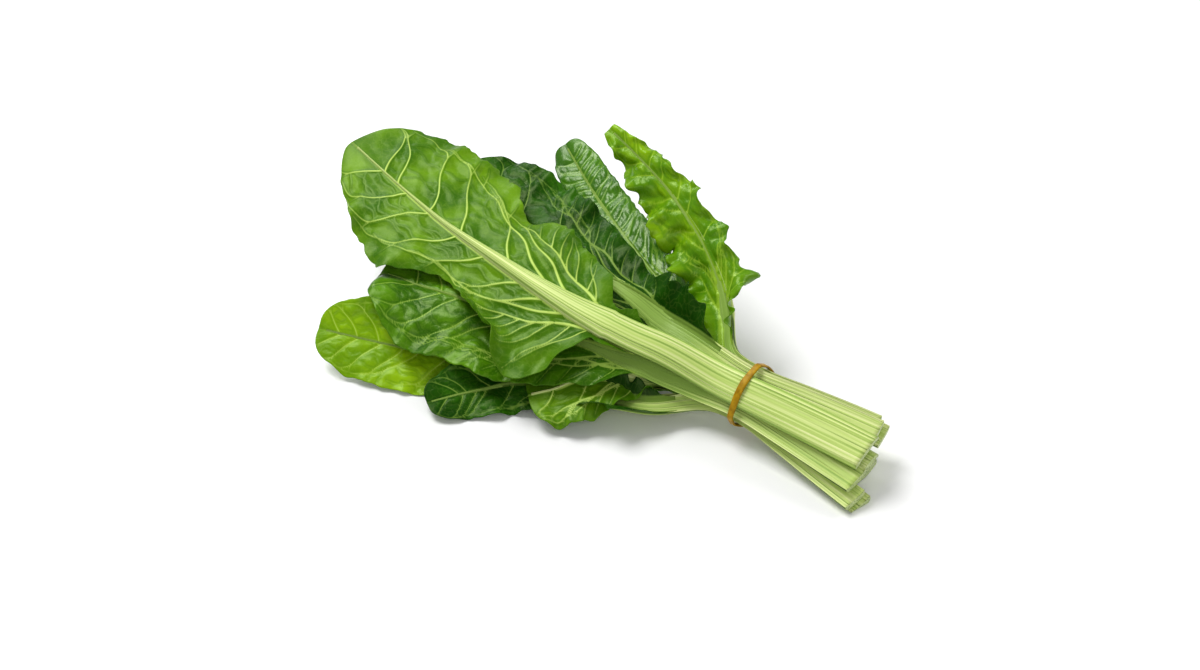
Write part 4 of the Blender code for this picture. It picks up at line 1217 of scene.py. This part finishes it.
def stalk_material():
    """Pale stalk with darker and lighter lines along it, and painted shade on its bare flanks and where it
    runs in under the blade.
    """
    nodes = Nodes("stalk_skin", 0.36, Specular_IOR_Level=0.25, Specular_Tint=(0.95, 1.0, 0.7, 1))
    grain = nodes.attribute("grain").outputs["Vector"]
    rib = nodes.attribute("rib").outputs["Fac"]
    lines = nodes.noise(grain, 1.0, 3.0, stretch=(7.0, 620.0, 1.0))
    # painted shade: rib carries the darkened flanks, and own the darker upper side under the blade; both
    # darken the colour here
    height = nodes.sum("ADD", nodes.sum("MULTIPLY", rib, 0.30), nodes.sum("MULTIPLY", lines, 0.76))
    own = nodes.sum("MULTIPLY", nodes.attribute("own").outputs["Fac"], -0.14)
    height = nodes.sum("ADD", height, nodes.sum("ADD", own, 0.07))
    dark, middle, light = PALE_STALK
    colour = nodes.ramp(height, (0.28, dark), (0.46, middle), (0.66, light))
    patches = nodes.noise(grain, 1.0, 3.0, stretch=(14.0, 90.0, 1.0))
    colour = nodes.mix(nodes.sum("MULTIPLY", patches, 0.32), colour, STALK_PATCH)
    fine = nodes.noise(grain, 1.0, 1.0, stretch=(5.0, 1300.0, 1.0))
    thin = nodes.fade(fine, (0.31, 0.80), (0.40, 0.0))
    stem = nodes.fade(nodes.attribute("fine").outputs["Fac"], (0.0, 1.0), (0.55, 0.0))
    thin = nodes.sum("MULTIPLY", thin, stem)
    colour = nodes.mix(thin, colour, STALK_LINE)
    # painted shade: flanks that the rib marks darkened take the dark shade colour
    deep = nodes.fade(nodes.sum("ADD", rib, 0.75), (0.0, 1.0), (0.60, 0.0))
    colour = nodes.mix(deep, colour, STALK_FLANK_SHADE)
    nodes.join(colour, nodes.shader.inputs["Base Color"])
    nodes.bump(nodes.sum("SUBTRACT", lines, nodes.sum("MULTIPLY", thin, 0.4)), 0.0012, 0.7)
    return nodes.material


def cut_material():
    """The cut end: pale wet pith with darker fibre spots."""
    nodes = Nodes("stalk_cut", 0.45)
    place = nodes.add("NewGeometry").outputs["Position"]
    cells = nodes.add("TexVoronoi", Scale=900.0)
    nodes.join(place, cells.inputs["Vector"])
    dark, light = CUT_COLOURS
    colour = nodes.ramp(cells.outputs["Distance"], (0.15, dark), (0.6, light))
    nodes.join(colour, nodes.shader.inputs["Base Color"])
    nodes.bump(cells.outputs["Distance"], 0.0006, 0.8)
    return nodes.material


def band_material():
    nodes = Nodes("band_rubber", 0.42, Specular_IOR_Level=0.25, Specular_Tint=(1.0, 0.8, 0.4, 1))
    place = nodes.add("NewGeometry").outputs["Position"]
    dark, light = BAND_COLOURS
    colour = nodes.ramp(nodes.noise(place, 260.0), (0.3, dark), (0.7, light))
    nodes.join(colour, nodes.shader.inputs["Base Color"])
    nodes.bump(nodes.noise(place, 1500.0), 0.0002, 0.6)
    return nodes.material


def add_floor():
    """A plain white table that reflects a little."""
    nodes = Nodes("floor_white", 0.16, Specular_IOR_Level=0.5)
    nodes.shader.inputs["Base Color"].default_value = (FLOOR_WHITE, FLOOR_WHITE, FLOOR_WHITE, 1)
    half = FLOOR_SIZE / 2
    corners = [(-half, -half, 0), (half, -half, 0), (half, half, 0), (-half, half, 0)]
    mesh = bpy.data.meshes.new("floor")
    mesh.from_pydata(corners, [], [(0, 1, 2, 3)])
    mesh.materials.append(nodes.material)
    floor = bpy.data.objects.new("floor", mesh)
    bpy.context.scene.collection.objects.link(floor)
    floor.location.z = -0.0005


def view_axes():
    """Right, up and forward of the photograph's camera."""
    turn, lift = (math.radians(v) for v in CAMERA_TURN)
    forward = Vector((-math.sin(turn) * math.cos(lift), math.cos(turn) * math.cos(lift), -math.sin(lift)))
    right = forward.cross(Vector((0, 0, 1))).normalized()
    return right, right.cross(forward), forward


def add_camera(origin):
    right, up, forward = view_axes()
    tie = Vector(origin) + Vector((0, *TIE_CENTRE))
    wide, high = PHOTO_SIZE
    x, y = TIE_IN_PHOTO
    middle = tie + right * (wide / 2 - x) * PIXEL + up * (y - high / 2) * PIXEL + forward * 0.03
    distance = wide * PIXEL * LENS / SENSOR
    data = bpy.data.cameras.new("camera")
    data.lens = LENS
    data.sensor_width = SENSOR
    data.clip_end = 50
    camera = bpy.data.objects.new("camera", data)
    bpy.context.scene.collection.objects.link(camera)
    camera.location = middle - forward * distance
    camera.rotation_euler = forward.to_track_quat("-Z", "Y").to_euler()
    bpy.context.scene.camera = camera


def add_light(name, place, size, power, aim=(0, 0, 0.03)):
    data = bpy.data.lights.new(name, "AREA")
    data.shape = "RECTANGLE"
    data.size, data.size_y = size
    data.energy = power
    light = bpy.data.objects.new(name, data)
    bpy.context.scene.collection.objects.link(light)
    light.location = place
    light.rotation_euler = (Vector(aim) - Vector(place)).to_track_quat("-Z", "Y").to_euler()


def add_studio():
    """Soft light from above and behind, with a bright room round it."""
    world = bpy.data.worlds.new("room")
    world.use_nodes = True
    world.node_tree.nodes["Background"].inputs["Color"].default_value = (1, 1, 1, 1)
    world.node_tree.nodes["Background"].inputs["Strength"].default_value = 0.34
    bpy.context.scene.world = world
    add_light("key", (-0.9, -0.1, 1.7), (1.0, 0.9), 32)
    add_light("glint", (-1.3, 0.8, 1.0), (0.5, 0.35), 4)
    add_light("back", (0.9, 1.8, 1.4), (1.6, 0.8), 14)
    add_light("front", (1.5, -1.5, 1.5), (1.6, 1.2), 14)
    bpy.context.scene.view_settings.view_transform = "Standard"


def main():
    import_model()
    laid = arrange(LEAVES)
    origin = tie_place(laid)
    stem = [stalk_material(), cut_material()]
    skins = {tone: [leaf_material(tone, False), leaf_material(tone, True)] for tone in TONES}
    for leaf, line, at, lift in laid:
        blade_piece(leaf, line, at, lift, origin, skins[LOOKS[leaf.name].tone])
        stalk_piece(leaf, line, at, lift, origin, stem)
    band_piece(laid, origin, band_material())
    add_floor()
    add_camera(origin)
    add_studio()
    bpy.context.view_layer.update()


main()
